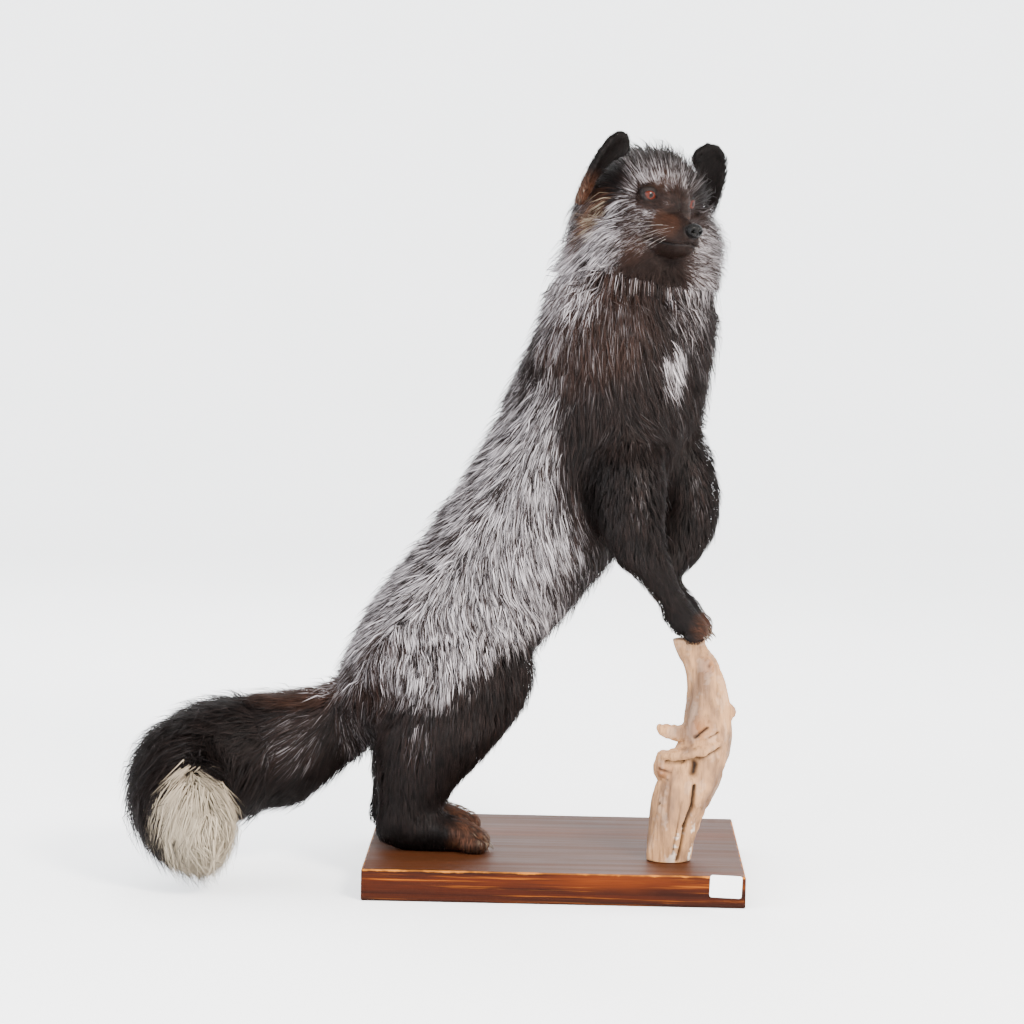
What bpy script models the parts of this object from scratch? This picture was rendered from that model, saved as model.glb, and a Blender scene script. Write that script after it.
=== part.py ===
"""A mounted silver fox, life size, standing on its hind feet with both forepaws on a driftwood stump.

Metres, +Z up. The origin is the middle of the base board's underside. The fox heads towards +X, its right
side faces -Y and its head is turned to look along -Y. Its outer surface is the tips of its coat. The flesh is
modelled whole, as lofts through named stations that one voxel remesh joins, and is then parted by thin cuts.
"""
import math

import bmesh
import bpy
import numpy as np
from mathutils import Matrix, Vector

# Driving dimensions
GAP = 0.0003  # between pieces that touch
CUT = 0.0004  # width of the cuts that part the flesh
BOARD_WIDTH, BOARD_DEPTH, BOARD_HEIGHT = 0.480, 0.430, 0.040
BOARD_EDGE = 0.002
LABEL_WIDTH, LABEL_HEIGHT, LABEL_THICKNESS = 0.040, 0.028, 0.0006
LABEL_X, LABEL_Z, LABEL_TILT = 0.215, 0.0276, math.radians(2.0)
STUMP_Y = -0.105
EYE_RADIUS = 0.0095
EYE_SPACING = 0.0608
EYE_OUTWARD = 0.30  # how far each eye looks to its side, for one forward
EYE_OPENING = ((0.004, 0.0075), (0.030, 0.0110))  # along its look: (distance, half width)
EAR_CUP, EAR_THICKNESS = 0.80, 0.0055
KNEE_HEIGHT, ELBOW_HEIGHT = 0.205, 0.430
LIMBS = {  # (height of the cut, the piece above it, the piece below it)
    "hind_leg": (KNEE_HEIGHT, "hind_thigh", "hind_shank"),
    "foreleg": (ELBOW_HEIGHT, "upper_arm", "forearm"),
}
LIMB_SEED = 0.045  # about how far the middle of each of those pieces is from the cut
FORELEG_MARGIN = 0.008  # how far the space cut for a foreleg reaches past its own half widths
DOME_ANGLES = (20, 46, 69)  # degrees from the pole of a loft's round end to each of its rings
LIMB_CUT = (0.30, 0.16)  # length and breadth of the thin cut across a leg
FLESH_VOXEL, FLESH_SOFTENING, FLESH_TRIANGLES = 0.0045, 9, 2900
WOOD_VOXEL, WOOD_SOFTENING, WOOD_TRIANGLES = 0.003, 4, 660
REGION_VOXEL, REGION_SOFTENING, REGION_TRIANGLES = 0.009, 3, 110

# The head's frame: its origin is midway between the eyes.
HEAD_ORIGIN = Vector((0.1262, -0.125, 0.8789))
HEAD_YAW, HEAD_PITCH, HEAD_ROLL = math.radians(35), math.radians(8.3), math.radians(9)

# Each station is (x, y, z, half width to the side, half depth), from one end of the loft to the other.
TORSO = (
    (-0.262, -0.002, 0.205, 0.052, 0.045),
    (-0.218, -0.008, 0.247, 0.082, 0.076),
    (-0.160, -0.015, 0.308, 0.096, 0.097),
    (-0.094, -0.026, 0.381, 0.094, 0.104),
    (-0.034, -0.040, 0.465, 0.096, 0.110),
    (0.018, -0.055, 0.545, 0.102, 0.117),
    (0.056, -0.066, 0.625, 0.108, 0.122),
    (0.078, -0.072, 0.700, 0.104, 0.115),
    (0.088, -0.074, 0.770, 0.101, 0.108),
    (0.095, -0.068, 0.826, 0.099, 0.107),
    (0.100, -0.060, 0.868, 0.086, 0.088),
)
TAIL = (
    (-0.235, 0.000, 0.222, 0.046, 0.042),
    (-0.300, 0.002, 0.188, 0.060, 0.052),
    (-0.365, -0.004, 0.158, 0.080, 0.066),
    (-0.430, -0.030, 0.151, 0.080, 0.074),
    (-0.482, -0.080, 0.136, 0.072, 0.066),
    (-0.480, -0.135, 0.108, 0.070, 0.064),
    (-0.454, -0.178, 0.090, 0.061, 0.062),
    (-0.440, -0.205, 0.076, 0.052, 0.052),
    (-0.430, -0.226, 0.066, 0.032, 0.032),
)
# Hind leg: hip, thigh, knee, shank, heel; the foot is a loft of its own.
HIND_LEG = (
    (-0.152, 0.020, 0.322, 0.050, 0.104),
    (-0.130, 0.000, 0.272, 0.058, 0.108),
    (-0.142, 0.000, 0.222, 0.054, 0.081),
    (-0.170, 0.000, 0.167, 0.044, 0.066),
    (-0.184, 0.000, 0.118, 0.036, 0.048),
    (-0.192, 0.000, 0.076, 0.030, 0.036),
)
HIND_FOOT = (
    (-0.212, 0.000, 0.068, 0.022, 0.024),
    (-0.186, 0.000, 0.068, 0.029, 0.030),
    (-0.146, 0.000, 0.064, 0.029, 0.026),
    (-0.114, 0.000, 0.059, 0.030, 0.021),
    (-0.094, 0.000, 0.055, 0.024, 0.015),
)
# Where each hind foot stands: its middle's y, and how far along x it is from the stations above
HIND_FEET = {"right": (-0.072, 0.000), "left": (0.050, -0.015)}
FORELEG = {
    "right": (
        (0.060, -0.094, 0.650, 0.050, 0.056),
        (0.074, -0.118, 0.596, 0.052, 0.056),
        (0.085, -0.139, 0.528, 0.045, 0.049),
        (0.093, -0.155, 0.462, 0.039, 0.042),
        (0.116, -0.150, 0.420, 0.021, 0.028),
        (0.138, -0.137, 0.383, 0.017, 0.019),
        (0.156, -0.127, 0.354, 0.019, 0.020),
    ),
    "left": (
        (0.104, -0.048, 0.660, 0.046, 0.050),
        (0.126, -0.047, 0.605, 0.047, 0.051),
        (0.148, -0.050, 0.538, 0.046, 0.050),
        (0.162, -0.058, 0.480, 0.042, 0.044),
        (0.144, -0.068, 0.436, 0.033, 0.038),
        (0.135, -0.082, 0.397, 0.021, 0.020),
        (0.160, -0.094, 0.360, 0.021, 0.022),
    ),
}
FOREPAW = {
    "right": (
        (0.146, -0.126, 0.362, 0.018, 0.020),
        (0.160, -0.124, 0.346, 0.021, 0.021),
        (0.177, -0.126, 0.338, 0.020, 0.016),
    ),
    "left": (
        (0.156, -0.086, 0.364, 0.019, 0.020),
        (0.168, -0.084, 0.347, 0.021, 0.022),
        (0.184, -0.084, 0.338, 0.020, 0.016),
    ),
}
# In the head's frame: (forward, left, up, half width, half height)
SKULL = (
    (-0.084, 0.015, -0.034, 0.067, 0.066),
    (-0.050, 0.009, -0.009, 0.081, 0.063),
    (-0.018, 0.004, -0.014, 0.063, 0.052),
    (0.002, 0.000, -0.020, 0.037, 0.042),
    (0.011, 0.000, -0.034, 0.028, 0.032),
)
MUZZLE = (
    (-0.024, 0.000, -0.030, 0.046, 0.044),
    (0.006, 0.000, -0.036, 0.031, 0.034),
    (0.032, 0.000, -0.040, 0.025, 0.028),
    (0.054, 0.000, -0.042, 0.020, 0.023),
    (0.068, 0.000, -0.040, 0.012, 0.014),
)
RUFF = (
    (-0.076, 0.018, -0.052, 0.096, 0.062),
    (-0.060, 0.023, -0.046, 0.118, 0.070),
    (-0.030, 0.017, -0.050, 0.105, 0.062),
    (-0.008, 0.005, -0.050, 0.063, 0.042),
)
NOSE = (0.068, 0.0, -0.029)
NOSE_RADII = (0.0080, 0.0105, 0.0085)
# Each ear's foot, from there to its tip, its half width at the foot, how much that grows, its bluntness
EARS = {
    "right": ((-0.052, -0.071, -0.034), (0.007, 0.014, 0.102), 0.021, 0.013, 1.8),
    "left": ((-0.052, 0.090, -0.028), (0.007, -0.003, 0.106), 0.025, 0.016, 3.0),
}

# The stump: (x, height above the board, half width, half depth)
STUMP = (
    (0.1450, 0.000, 0.0290, 0.0290),
    (0.1500, 0.040, 0.0310, 0.0310),
    (0.1600, 0.080, 0.0360, 0.0330),
    (0.1760, 0.115, 0.0370, 0.0330),
    (0.1895, 0.150, 0.0315, 0.0300),
    (0.1925, 0.185, 0.0290, 0.0280),
    (0.1910, 0.215, 0.0260, 0.0260),
    (0.1820, 0.248, 0.0210, 0.0220),
    (0.1670, 0.275, 0.0180, 0.0200),
    (0.1610, 0.284, 0.0165, 0.0180),
)
# On the stump, each (x, out from the stump's middle, z, half width, half depth)
STUB = (
    (0.180, -0.004, 0.214, 0.012, 0.013),
    (0.158, -0.012, 0.205, 0.009, 0.010),
    (0.136, -0.014, 0.208, 0.008, 0.009),
    (0.130, -0.014, 0.214, 0.005, 0.006),
)
LIP = (
    (0.200, -0.018, 0.192, 0.012, 0.010),
    (0.172, -0.028, 0.182, 0.012, 0.009),
    (0.148, -0.022, 0.178, 0.011, 0.008),
    (0.138, -0.010, 0.172, 0.010, 0.012),
)
KNOBS = (((0.139, -0.008, 0.160), (0.015, 0.016, 0.019)), ((0.219, -0.002, 0.232), (0.007, 0.009, 0.011)))


# The space each hind leg takes: (x, out from the foot's middle, z, half width, half depth)
HIND_REGION = (
    (-0.142, 0.016, 0.302, 0.050, 0.112),
    (-0.132, 0.013, 0.272, 0.055, 0.121),
    (-0.142, 0.010, 0.222, 0.055, 0.098),
    (-0.170, 0.004, 0.167, 0.056, 0.080),
    (-0.186, 0.000, 0.125, 0.052, 0.064),
)
# Thin cuts: (middle, normal, direction of the long side, (length, breadth))
BODY_CUTS = (
    ((-0.290, 0.000, 0.205), (1, 0, 0.25), (0, 1, 0), (0.16, 0.16)),
    ((-0.385, -0.010, 0.168), (1, 0.45, 0.20), (0, 0, 1), (0.20, 0.19)),
    ((-0.482, -0.105, 0.125), (0, 0.864, 0.50), (1, 0, 0), (0.20, 0.20)),
    ((-0.466, -0.160, 0.098), (-0.35, 0.85, 0.42), (1, 0, 0), (0.20, 0.20)),
    ((-0.110, -0.020, 0.375), (0.63, 0, 0.776), (0, 1, 0), (0.34, 0.30)),
    ((0.030, -0.060, 0.600), (0.44, 0, 0.90), (0, 1, 0), (0.36, 0.36)),
    ((0.082, -0.072, 0.700), (0.15, 0, 1), (0, 1, 0), (0.34, 0.34)),
    ((0.095, -0.075, 0.785), (0.10, 0.05, 1), (0, 1, 0), (0.34, 0.34)),
    ((0.163, -0.105, 0.345), (0.33, 0.94, 0), (0, 0, 1), (0.10, 0.12)),
)
BODY_SEEDS = {
    "tail_root": (-0.340, 0.000, 0.185),
    "tail_middle": (-0.440, -0.050, 0.150),
    "tail_end": (-0.478, -0.130, 0.112),
    "tail_tip": (-0.450, -0.195, 0.078),
    "rump": (-0.200, -0.010, 0.290),
    "trunk": (-0.040, -0.040, 0.460),
    "chest": (0.060, -0.070, 0.650),
    "neck": (0.085, -0.073, 0.745),
    "head": (0.120, -0.085, 0.860),
    "forepaw_right": (0.156, -0.124, 0.345),
    "forepaw_left": (0.170, -0.084, 0.345),
    "hind_paw_right": (-0.150, -0.072, 0.060),
    "hind_paw_left": (-0.165, 0.050, 0.060),
}
FINISHES = {  # (sRGB colour, roughness) of each kind of surface
    "silver_fur": ("8f898d", 0.65),
    "black_fur": ("2a2322", 0.60),
    "white_fur": ("cfc6ba", 0.65),
    "amber_glass": ("7a2f12", 0.05),
    "nose_leather": ("1a1716", 0.30),
    "stained_board": ("5a2c14", 0.35),
    "bare_driftwood": ("c4aa8c", 0.75),
    "white_card": ("f1f2f4", 0.60),
}
FINISH_OF = {  # by the start of a node's name; all others are black fur
    "base_board": "stained_board",
    "base_label": "white_card",
    "driftwood": "bare_driftwood",
    "eye": "amber_glass",
    "nose": "nose_leather",
    "tail_tip": "white_fur",
    "trunk": "silver_fur",
    "rump": "silver_fur",
    "neck": "silver_fur",
    "head": "silver_fur",
}


def clear_scene():
    for old in list(bpy.data.objects):
        bpy.data.objects.remove(old)


def linear(channel):
    return channel / 12.92 if channel <= 0.04045 else ((channel + 0.055) / 1.055) ** 2.4


def material(name, colour, roughness, metallic=0.0):
    """A Principled material of this sRGB hex colour."""
    made = bpy.data.materials.new(name)
    made.use_nodes = True
    shader = made.node_tree.nodes["Principled BSDF"]
    rgb = [linear(int(colour[i : i + 2], 16) / 255) for i in (0, 2, 4)]
    shader.inputs["Base Color"].default_value = (*rgb, 1)
    shader.inputs["Roughness"].default_value = roughness
    shader.inputs["Metallic"].default_value = metallic
    return made


def new_object(name, bm, collection):
    """The bmesh as an object, with its normals facing out."""
    bmesh.ops.recalc_face_normals(bm, faces=bm.faces)
    mesh = bpy.data.meshes.new(name)
    bm.to_mesh(mesh)
    bm.free()
    made = bpy.data.objects.new(name, mesh)
    collection.objects.link(made)
    return made


def head_matrix():
    """From the head's frame (forward, left, up) to the world."""
    yaw, pitch, roll = HEAD_YAW, HEAD_PITCH, HEAD_ROLL
    forward = Vector((math.sin(yaw) * math.cos(pitch), -math.cos(yaw) * math.cos(pitch), -math.sin(pitch)))
    level = Vector((math.cos(yaw), math.sin(yaw), 0))
    above = forward.cross(level)
    left = math.cos(roll) * level - math.sin(roll) * above
    up = math.cos(roll) * above + math.sin(roll) * level
    return Matrix.Translation(HEAD_ORIGIN) @ Matrix((forward, left, up)).transposed().to_4x4()


def smooth_stations(stations, steps):
    """Points on a Catmull-Rom curve through the stations, with this many steps between each two."""
    table = np.array(stations, float)
    padded = np.vstack([2 * table[0] - table[1], table, 2 * table[-1] - table[-2]])
    rows = []
    for i in range(len(table) - 1):
        a, b, c, d = padded[i : i + 4]
        for t in np.arange(steps) / steps:
            square = (2 * a - 5 * b + 4 * c - d) * t**2
            cube = (3 * b - a - 3 * c + d) * t**3
            rows.append((2 * b + (c - a) * t + square + cube) / 2)
    rows.append(table[-1])
    return np.array(rows)


def loft(name, stations, side, collection, sides=20, steps=4):
    """A closed tube of elliptical sections through the stations, with domed ends.

    side is the direction of each section's half width, and its half depth is square to that.
    """
    rows = smooth_stations(stations, steps)
    centres = rows[:, :3]
    along = np.gradient(centres, axis=0)
    dome = [math.sin(math.radians(angle)) for angle in DOME_ANGLES]
    rings = [(0, -math.sqrt(1 - s * s), s) for s in dome]
    rings += [(i, 0, 1) for i in range(len(rows))]
    rings += [(len(rows) - 1, math.sqrt(1 - s * s), s) for s in reversed(dome)]
    bm = bmesh.new()
    loops = []
    for index, reach, scale in rings:
        forward = Vector(along[index]).normalized()
        across = (Vector(side) - forward * forward.dot(Vector(side))).normalized()
        deep = forward.cross(across)
        wide, tall = rows[index, 3:5]
        centre = Vector(centres[index]) + forward * reach * min(wide, tall)
        turns = [2 * math.pi * k / sides for k in range(sides)]
        points = [centre + scale * (across * wide * math.cos(a) + deep * tall * math.sin(a)) for a in turns]
        loops.append([bm.verts.new(p) for p in points])
    for low, high in zip(loops, loops[1:]):
        for k in range(sides):
            bm.faces.new((low[k], low[(k + 1) % sides], high[(k + 1) % sides], high[k]))
    bm.faces.new(loops[0])
    bm.faces.new(loops[-1])
    return new_object(name, bm, collection)


def ball(name, centre, radii, turn, collection, segments=12, rings=8):
    """An ellipsoid whose axes are turned by the matrix."""
    bm = bmesh.new()
    bmesh.ops.create_uvsphere(bm, u_segments=segments, v_segments=rings, radius=1)
    place = Matrix.Translation(Vector(centre)) @ turn.to_3x3().to_4x4() @ Matrix.Diagonal((*radii, 1))
    bmesh.ops.transform(bm, matrix=place, verts=bm.verts)
    return new_object(name, bm, collection)


def applied(obj):
    """The object with its modifiers made part of its mesh."""
    graph = bpy.context.evaluated_depsgraph_get()
    mesh = bpy.data.meshes.new_from_object(obj.evaluated_get(graph))
    obj.modifiers.clear()
    obj.data = mesh
    return obj


def joined(name, pieces, collection):
    """The pieces' meshes in one object, still overlapping."""
    bm = bmesh.new()
    for piece in pieces:
        bm.from_mesh(piece.data)
        bpy.data.objects.remove(piece)
    return new_object(name, bm, collection)


def blended(obj, voxel, rounds, triangles):
    """Makes overlapping closed shapes one smooth skin of about this many triangles."""
    remesh = obj.modifiers.new("one_skin", "REMESH")
    remesh.mode = "VOXEL"
    remesh.voxel_size = voxel
    smooth = obj.modifiers.new("soften", "SMOOTH")
    smooth.factor = 0.5
    smooth.iterations = rounds
    applied(obj)
    corners = sum(len(face.vertices) - 2 for face in obj.data.polygons)
    thin = obj.modifiers.new("fewer_faces", "DECIMATE")
    thin.ratio = triangles / corners
    thin.use_collapse_triangulate = True
    return applied(obj)


def combine(obj, other, operation):
    """Cuts, joins or intersects obj with other, exactly."""
    step = obj.modifiers.new("combine", "BOOLEAN")
    step.operation = operation
    step.solver = "EXACT"
    step.object = other
    return applied(obj)


def grown(name, obj, by, collection):
    """A copy of a closed object, larger by this much all over, to leave a gap round it."""
    copy = bpy.data.objects.new(name, obj.data.copy())
    copy.matrix_world = obj.matrix_world
    collection.objects.link(copy)
    swell = copy.modifiers.new("swell", "DISPLACE")
    swell.strength = by
    swell.mid_level = 0
    return applied(copy)


def sawn(obj, height, side):
    """Cuts an object off square at this height: side 1 takes what is above it, and -1 what is below."""
    bm = bmesh.new()
    bm.from_mesh(obj.data)
    everything = [*bm.verts, *bm.edges, *bm.faces]
    plane = {"plane_co": (0, 0, height), "plane_no": (0, 0, side)}
    cut = bmesh.ops.bisect_plane(bm, geom=everything, clear_outer=True, **plane)
    rim = [edge for edge in cut["geom_cut"] if isinstance(edge, bmesh.types.BMEdge)]
    bmesh.ops.edgenet_fill(bm, edges=rim)
    bm.to_mesh(obj.data)
    bm.free()


def slab(name, centre, normal, long, size, collection):
    """A thin box across the flesh: its thickness lies along normal, and its first side along long."""
    normal, long = Vector(normal).normalized(), Vector(long)
    long = (long - normal * normal.dot(long)).normalized()
    other = normal.cross(long)
    bm = bmesh.new()
    bmesh.ops.create_cube(bm, size=1)
    turn = Matrix((long, other, normal)).transposed().to_4x4()
    place = Matrix.Translation(Vector(centre)) @ turn @ Matrix.Diagonal((size[0], size[1], CUT, 1))
    bmesh.ops.transform(bm, matrix=place, verts=bm.verts)
    return new_object(name, bm, collection)


def islands(obj):
    """The separate closed bodies in an object's mesh, as bmeshes."""
    bm = bmesh.new()
    bm.from_mesh(obj.data)
    bmesh.ops.remove_doubles(bm, verts=bm.verts, dist=1e-6)
    unseen = set(bm.faces)
    groups = []
    while unseen:
        stack = [unseen.pop()]
        group = {stack[0]}
        while stack:
            for edge in stack.pop().edges:
                for face in edge.link_faces:
                    if face in unseen:
                        unseen.discard(face)
                        group.add(face)
                        stack.append(face)
        groups.append({face.index for face in group})
    bm.free()
    bodies = []
    for wanted in groups:
        part = bmesh.new()
        part.from_mesh(obj.data)
        bmesh.ops.remove_doubles(part, verts=part.verts, dist=1e-6)
        others = [face for face in part.faces if face.index not in wanted]
        bmesh.ops.delete(part, geom=others, context="FACES")
        bodies.append(part)
    return bodies


def middle(bm):
    """The middle of a body's surface, weighted by area."""
    total = sum(face.calc_area() for face in bm.faces)
    return sum((face.calc_center_median() * face.calc_area() for face in bm.faces), Vector()) / total


def base_board(collection):
    bm = bmesh.new()
    bmesh.ops.create_cube(bm, size=1)
    place = Matrix.Translation((0, 0, BOARD_HEIGHT / 2)) @ Matrix.Diagonal(
        (BOARD_WIDTH, BOARD_DEPTH, BOARD_HEIGHT, 1)
    )
    bmesh.ops.transform(bm, matrix=place, verts=bm.verts)
    board = new_object("base_board", bm, collection)
    edge = board.modifiers.new("eased_edges", "BEVEL")
    edge.width = BOARD_EDGE
    edge.segments = 2
    return applied(board)


def base_label(collection):
    """A blank card with round corners, stuck near the right end of the board's front edge."""
    bm = bmesh.new()
    bmesh.ops.create_cube(bm, size=1)
    size = Matrix.Diagonal((LABEL_WIDTH, LABEL_THICKNESS, LABEL_HEIGHT, 1))
    bmesh.ops.transform(bm, matrix=size, verts=bm.verts)
    corners = [edge for edge in bm.edges if abs(edge.verts[0].co.y - edge.verts[1].co.y) > GAP]
    bmesh.ops.bevel(bm, geom=corners, offset=0.003, segments=4, affect="EDGES", profile=0.5)
    front = -BOARD_DEPTH / 2 - GAP - LABEL_THICKNESS / 2
    place = Matrix.Translation((LABEL_X, front, LABEL_Z)) @ Matrix.Rotation(LABEL_TILT, 4, "Y")
    bmesh.ops.transform(bm, matrix=place, verts=bm.verts)
    return new_object("base_label", bm, collection)


def driftwood(collection, scratch):
    """A weathered upright root: a bent stem with a lip, a knob and the stub of a branch."""
    stem = [(x, STUMP_Y, BOARD_HEIGHT + GAP + h, wide, deep) for x, h, wide, deep in STUMP]
    pieces = [loft("stem", stem, (1, 0, 0), scratch, sides=24)]
    for stations in (STUB, LIP):
        moved = [(x, STUMP_Y + out, z, wide, deep) for x, out, z, wide, deep in stations]
        pieces.append(loft("branch", moved, (0, 1, 0), scratch, sides=12))
    for (x, out, z), radii in KNOBS:
        pieces.append(ball("knob", (x, STUMP_Y + out, z), radii, Matrix.Identity(3), scratch))
    wood = joined("driftwood", pieces, collection)
    blended(wood, WOOD_VOXEL, WOOD_SOFTENING, WOOD_TRIANGLES)
    sawn(wood, BOARD_HEIGHT + GAP, -1)
    sawn(wood, BOARD_HEIGHT + GAP + STUMP[-1][1], 1)
    return wood


def in_head(stations):
    """Stations in the head's frame as stations in the world, with the same half widths."""
    turn = head_matrix()
    return [(*(turn @ Vector(row[:3])), *row[3:]) for row in stations]


def flesh(scratch):
    """The whole animal but its ears, eyes and nose, as one smooth body."""
    across = head_matrix().to_3x3() @ Vector((0, 1, 0))
    pieces = [
        loft("torso", TORSO, (0, 1, 0), scratch, sides=28),
        loft("tail", TAIL, (0, 0, 1), scratch),
        loft("skull", in_head(SKULL), across, scratch, sides=28),
        loft("ruff", in_head(RUFF), across, scratch, sides=28),
        loft("muzzle", in_head(MUZZLE), across, scratch),
    ]
    for side, (y, along) in HIND_FEET.items():
        inward = math.copysign(1, -y)
        for part, stations in (("leg", HIND_LEG), ("foot", HIND_FOOT)):
            moved = [(x + along, y + inward * inset, z, wide, deep) for x, inset, z, wide, deep in stations]
            pieces.append(loft(part, moved, (0, 1, 0), scratch))
        pieces.append(loft("foreleg", FORELEG[side], (0, 1, 0), scratch))
        pieces.append(loft("forepaw", FOREPAW[side], (0, 1, 0), scratch))
    return blended(joined("flesh", pieces, scratch), FLESH_VOXEL, FLESH_SOFTENING, FLESH_TRIANGLES)


def ear(side, collection):
    """A cupped ear, open to the front, rounded at its tip."""
    across, up = 8, 8
    outward = 1 if side == "left" else -1
    foot, rise, narrow, flare, bluntness = EARS[side]
    foot, rise = Vector(foot), Vector(rise)
    bm = bmesh.new()
    rows = []
    for j in range(up):
        t = 0.985 * (j / (up - 1)) ** 0.8
        half = (narrow + flare * t) * math.sqrt(1 - t**bluntness)
        spread = math.radians(100 - 45 * t)
        row = []
        for i in range(across):
            turn = spread * (2 * i / (across - 1) - 1)
            sideways = half * math.sin(turn) / math.sin(min(spread, math.pi / 2))
            back = -EAR_CUP * half * (math.cos(turn) - math.cos(spread))
            row.append(bm.verts.new(foot + rise * t + Vector((back, outward * sideways, 0))))
        rows.append(row)
    for low, high in zip(rows, rows[1:]):
        for i in range(across - 1):
            bm.faces.new((low[i], low[i + 1], high[i + 1], high[i]))
    bmesh.ops.transform(bm, matrix=head_matrix(), verts=bm.verts)
    shell = new_object(f"ear_{side}", bm, collection)
    wall = shell.modifiers.new("wall", "SOLIDIFY")
    wall.thickness = EAR_THICKNESS
    wall.offset = 0
    return applied(shell)


def regions(scratch):
    """The space that each limb takes from the whole flesh, as closed shapes a little larger than the limb."""
    made = {}
    for side, (y, along) in HIND_FEET.items():
        outward = math.copysign(1, y)
        stations = [(x + along, y + outward * out, z, wide, deep) for x, out, z, wide, deep in HIND_REGION]
        made[f"hind_leg_{side}"] = loft("hind_region", stations, (0, 1, 0), scratch)
        free = FORELEG[side][2:-1]
        wider = [(*row[:3], row[3] + FORELEG_MARGIN, row[4] + FORELEG_MARGIN) for row in free]
        made[f"foreleg_{side}"] = loft("fore_region", wider, (0, 1, 0), scratch)
    for region in made.values():
        blended(region, REGION_VOXEL, REGION_SOFTENING, REGION_TRIANGLES)
    return made


def parted(body, cuts, seeds, parts, scratch):
    """Parts a body by thin cuts. Each piece that comes free takes the name of the seed nearest its middle."""
    for cut in cuts:
        cutter = slab("thin_cut", *cut, scratch)
        combine(body, cutter, "DIFFERENCE")
        bpy.data.objects.remove(cutter)
    left = dict(seeds)
    for piece in islands(body):
        centre = middle(piece)
        name = min(left, key=lambda seed: (Vector(left[seed]) - centre).length)
        del left[name]
        new_object(name, piece, parts)
    if left:
        raise RuntimeError(f"nothing came free near {sorted(left)}")
    bpy.data.objects.remove(body)


def socketed(obj, piece, scratch):
    """Cuts room for a piece, and the gap round it, out of an object."""
    room = grown("room", piece, GAP, scratch)
    combine(obj, room, "DIFFERENCE")
    bpy.data.objects.remove(room)


def finish(piece):
    """Gives a piece its own material, and shades it smooth but for its sharp edges."""
    kind = next((FINISH_OF[start] for start in FINISH_OF if piece.name.startswith(start)), "black_fur")
    piece.data.materials.clear()
    piece.data.materials.append(material(f"{piece.name}_{kind}", *FINISHES[kind]))
    piece.data.shade_smooth()
    piece.data.set_sharp_from_angle(angle=math.radians(40))


def build():
    clear_scene()
    parts = bpy.data.collections.new("mounted_fox")
    scratch = bpy.data.collections.new("cutters")
    scratch.hide_render = True
    for made in (parts, scratch):
        bpy.context.scene.collection.children.link(made)
    board = base_board(parts)
    base_label(parts)
    wood = driftwood(parts, scratch)
    body = flesh(scratch)
    for under in (board, wood):
        socketed(body, under, scratch)
    for name, region in regions(scratch).items():
        limb = bpy.data.objects.new(name, body.data.copy())
        scratch.objects.link(limb)
        combine(limb, region, "INTERSECT")
        socketed(body, region, scratch)
        bpy.data.objects.remove(region)
        x, y, _ = middle(islands(limb)[0])
        kind, side = name.rsplit("_", 1)
        height, above, below = LIMBS[kind]
        cuts = [((x, y, height), (0, 0, 1), (1, 0, 0), LIMB_CUT)]
        seeds = {f"{above}_{side}": (x, y, height + LIMB_SEED), f"{below}_{side}": (x, y, height - LIMB_SEED)}
        parted(limb, cuts, seeds, parts, scratch)
    parted(body, BODY_CUTS, BODY_SEEDS, parts, scratch)
    head = bpy.data.objects["head"]
    turn = head_matrix()
    for side, out in (("right", -1), ("left", 1)):
        centre = turn @ Vector((0, out * EYE_SPACING / 2, 0))
        eye = ball(f"eye_{side}", centre, (EYE_RADIUS,) * 3, turn, parts)
        socketed(head, eye, scratch)
        looking = turn.to_3x3() @ Vector((1, out * EYE_OUTWARD, 0)).normalized()
        mouths = [(*(centre + looking * far), wide, wide) for far, wide in EYE_OPENING]
        opening = loft("eye_opening", mouths, (0, 0, 1), scratch, sides=14, steps=1)
        socketed(head, opening, scratch)
        bpy.data.objects.remove(opening)
    nose = ball("nose", turn @ Vector(NOSE), NOSE_RADII, turn, parts)
    socketed(head, nose, scratch)
    for side in EARS:
        socketed(ear(side, parts), head, scratch)
    for piece in parts.objects:
        finish(piece)


build()
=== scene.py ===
"""A mounted silver fox: its hide, coat, face, feet and wooden mount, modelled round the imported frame.

Metres, +Z up. The fox's own head frame is (forward, left, up), with its origin midway between the eyes.
"""
import math
from functools import partial

import bmesh
import bpy
import numpy as np
from mathutils import Matrix, Vector, noise
from mathutils.bvhtree import BVHTree
from mathutils.kdtree import KDTree


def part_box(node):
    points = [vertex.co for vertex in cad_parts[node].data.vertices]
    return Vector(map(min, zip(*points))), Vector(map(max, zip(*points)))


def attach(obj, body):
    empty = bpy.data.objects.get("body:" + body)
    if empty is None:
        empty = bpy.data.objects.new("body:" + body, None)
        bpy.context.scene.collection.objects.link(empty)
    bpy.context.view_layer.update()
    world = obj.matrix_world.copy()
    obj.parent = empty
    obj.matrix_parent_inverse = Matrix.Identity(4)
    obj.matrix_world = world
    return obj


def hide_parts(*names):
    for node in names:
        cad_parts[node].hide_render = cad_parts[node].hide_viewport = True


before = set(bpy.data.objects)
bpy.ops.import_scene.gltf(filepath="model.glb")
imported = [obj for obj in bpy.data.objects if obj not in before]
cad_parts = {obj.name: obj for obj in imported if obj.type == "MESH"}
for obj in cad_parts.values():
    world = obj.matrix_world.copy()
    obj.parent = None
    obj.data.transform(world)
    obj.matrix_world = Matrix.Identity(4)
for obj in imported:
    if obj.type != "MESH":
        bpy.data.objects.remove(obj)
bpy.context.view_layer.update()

bl_info = {
    "name": "Mounted Silver Fox",
    "version": (1, 0, 0),
    "blender": (4, 5, 0),
    "location": "3D View > Sidebar > Fox",
    "description": "Models a mounted silver fox with a solid coat, on its board and driftwood",
    "category": "Object",
}

MM = 0.001
BODY = "root"
SIDES = {"right": -1, "left": 1}


def both(*parts):
    """The names of these parts on each side."""
    return tuple(f"{part}_{side}" for part in parts for side in SIDES)


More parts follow.
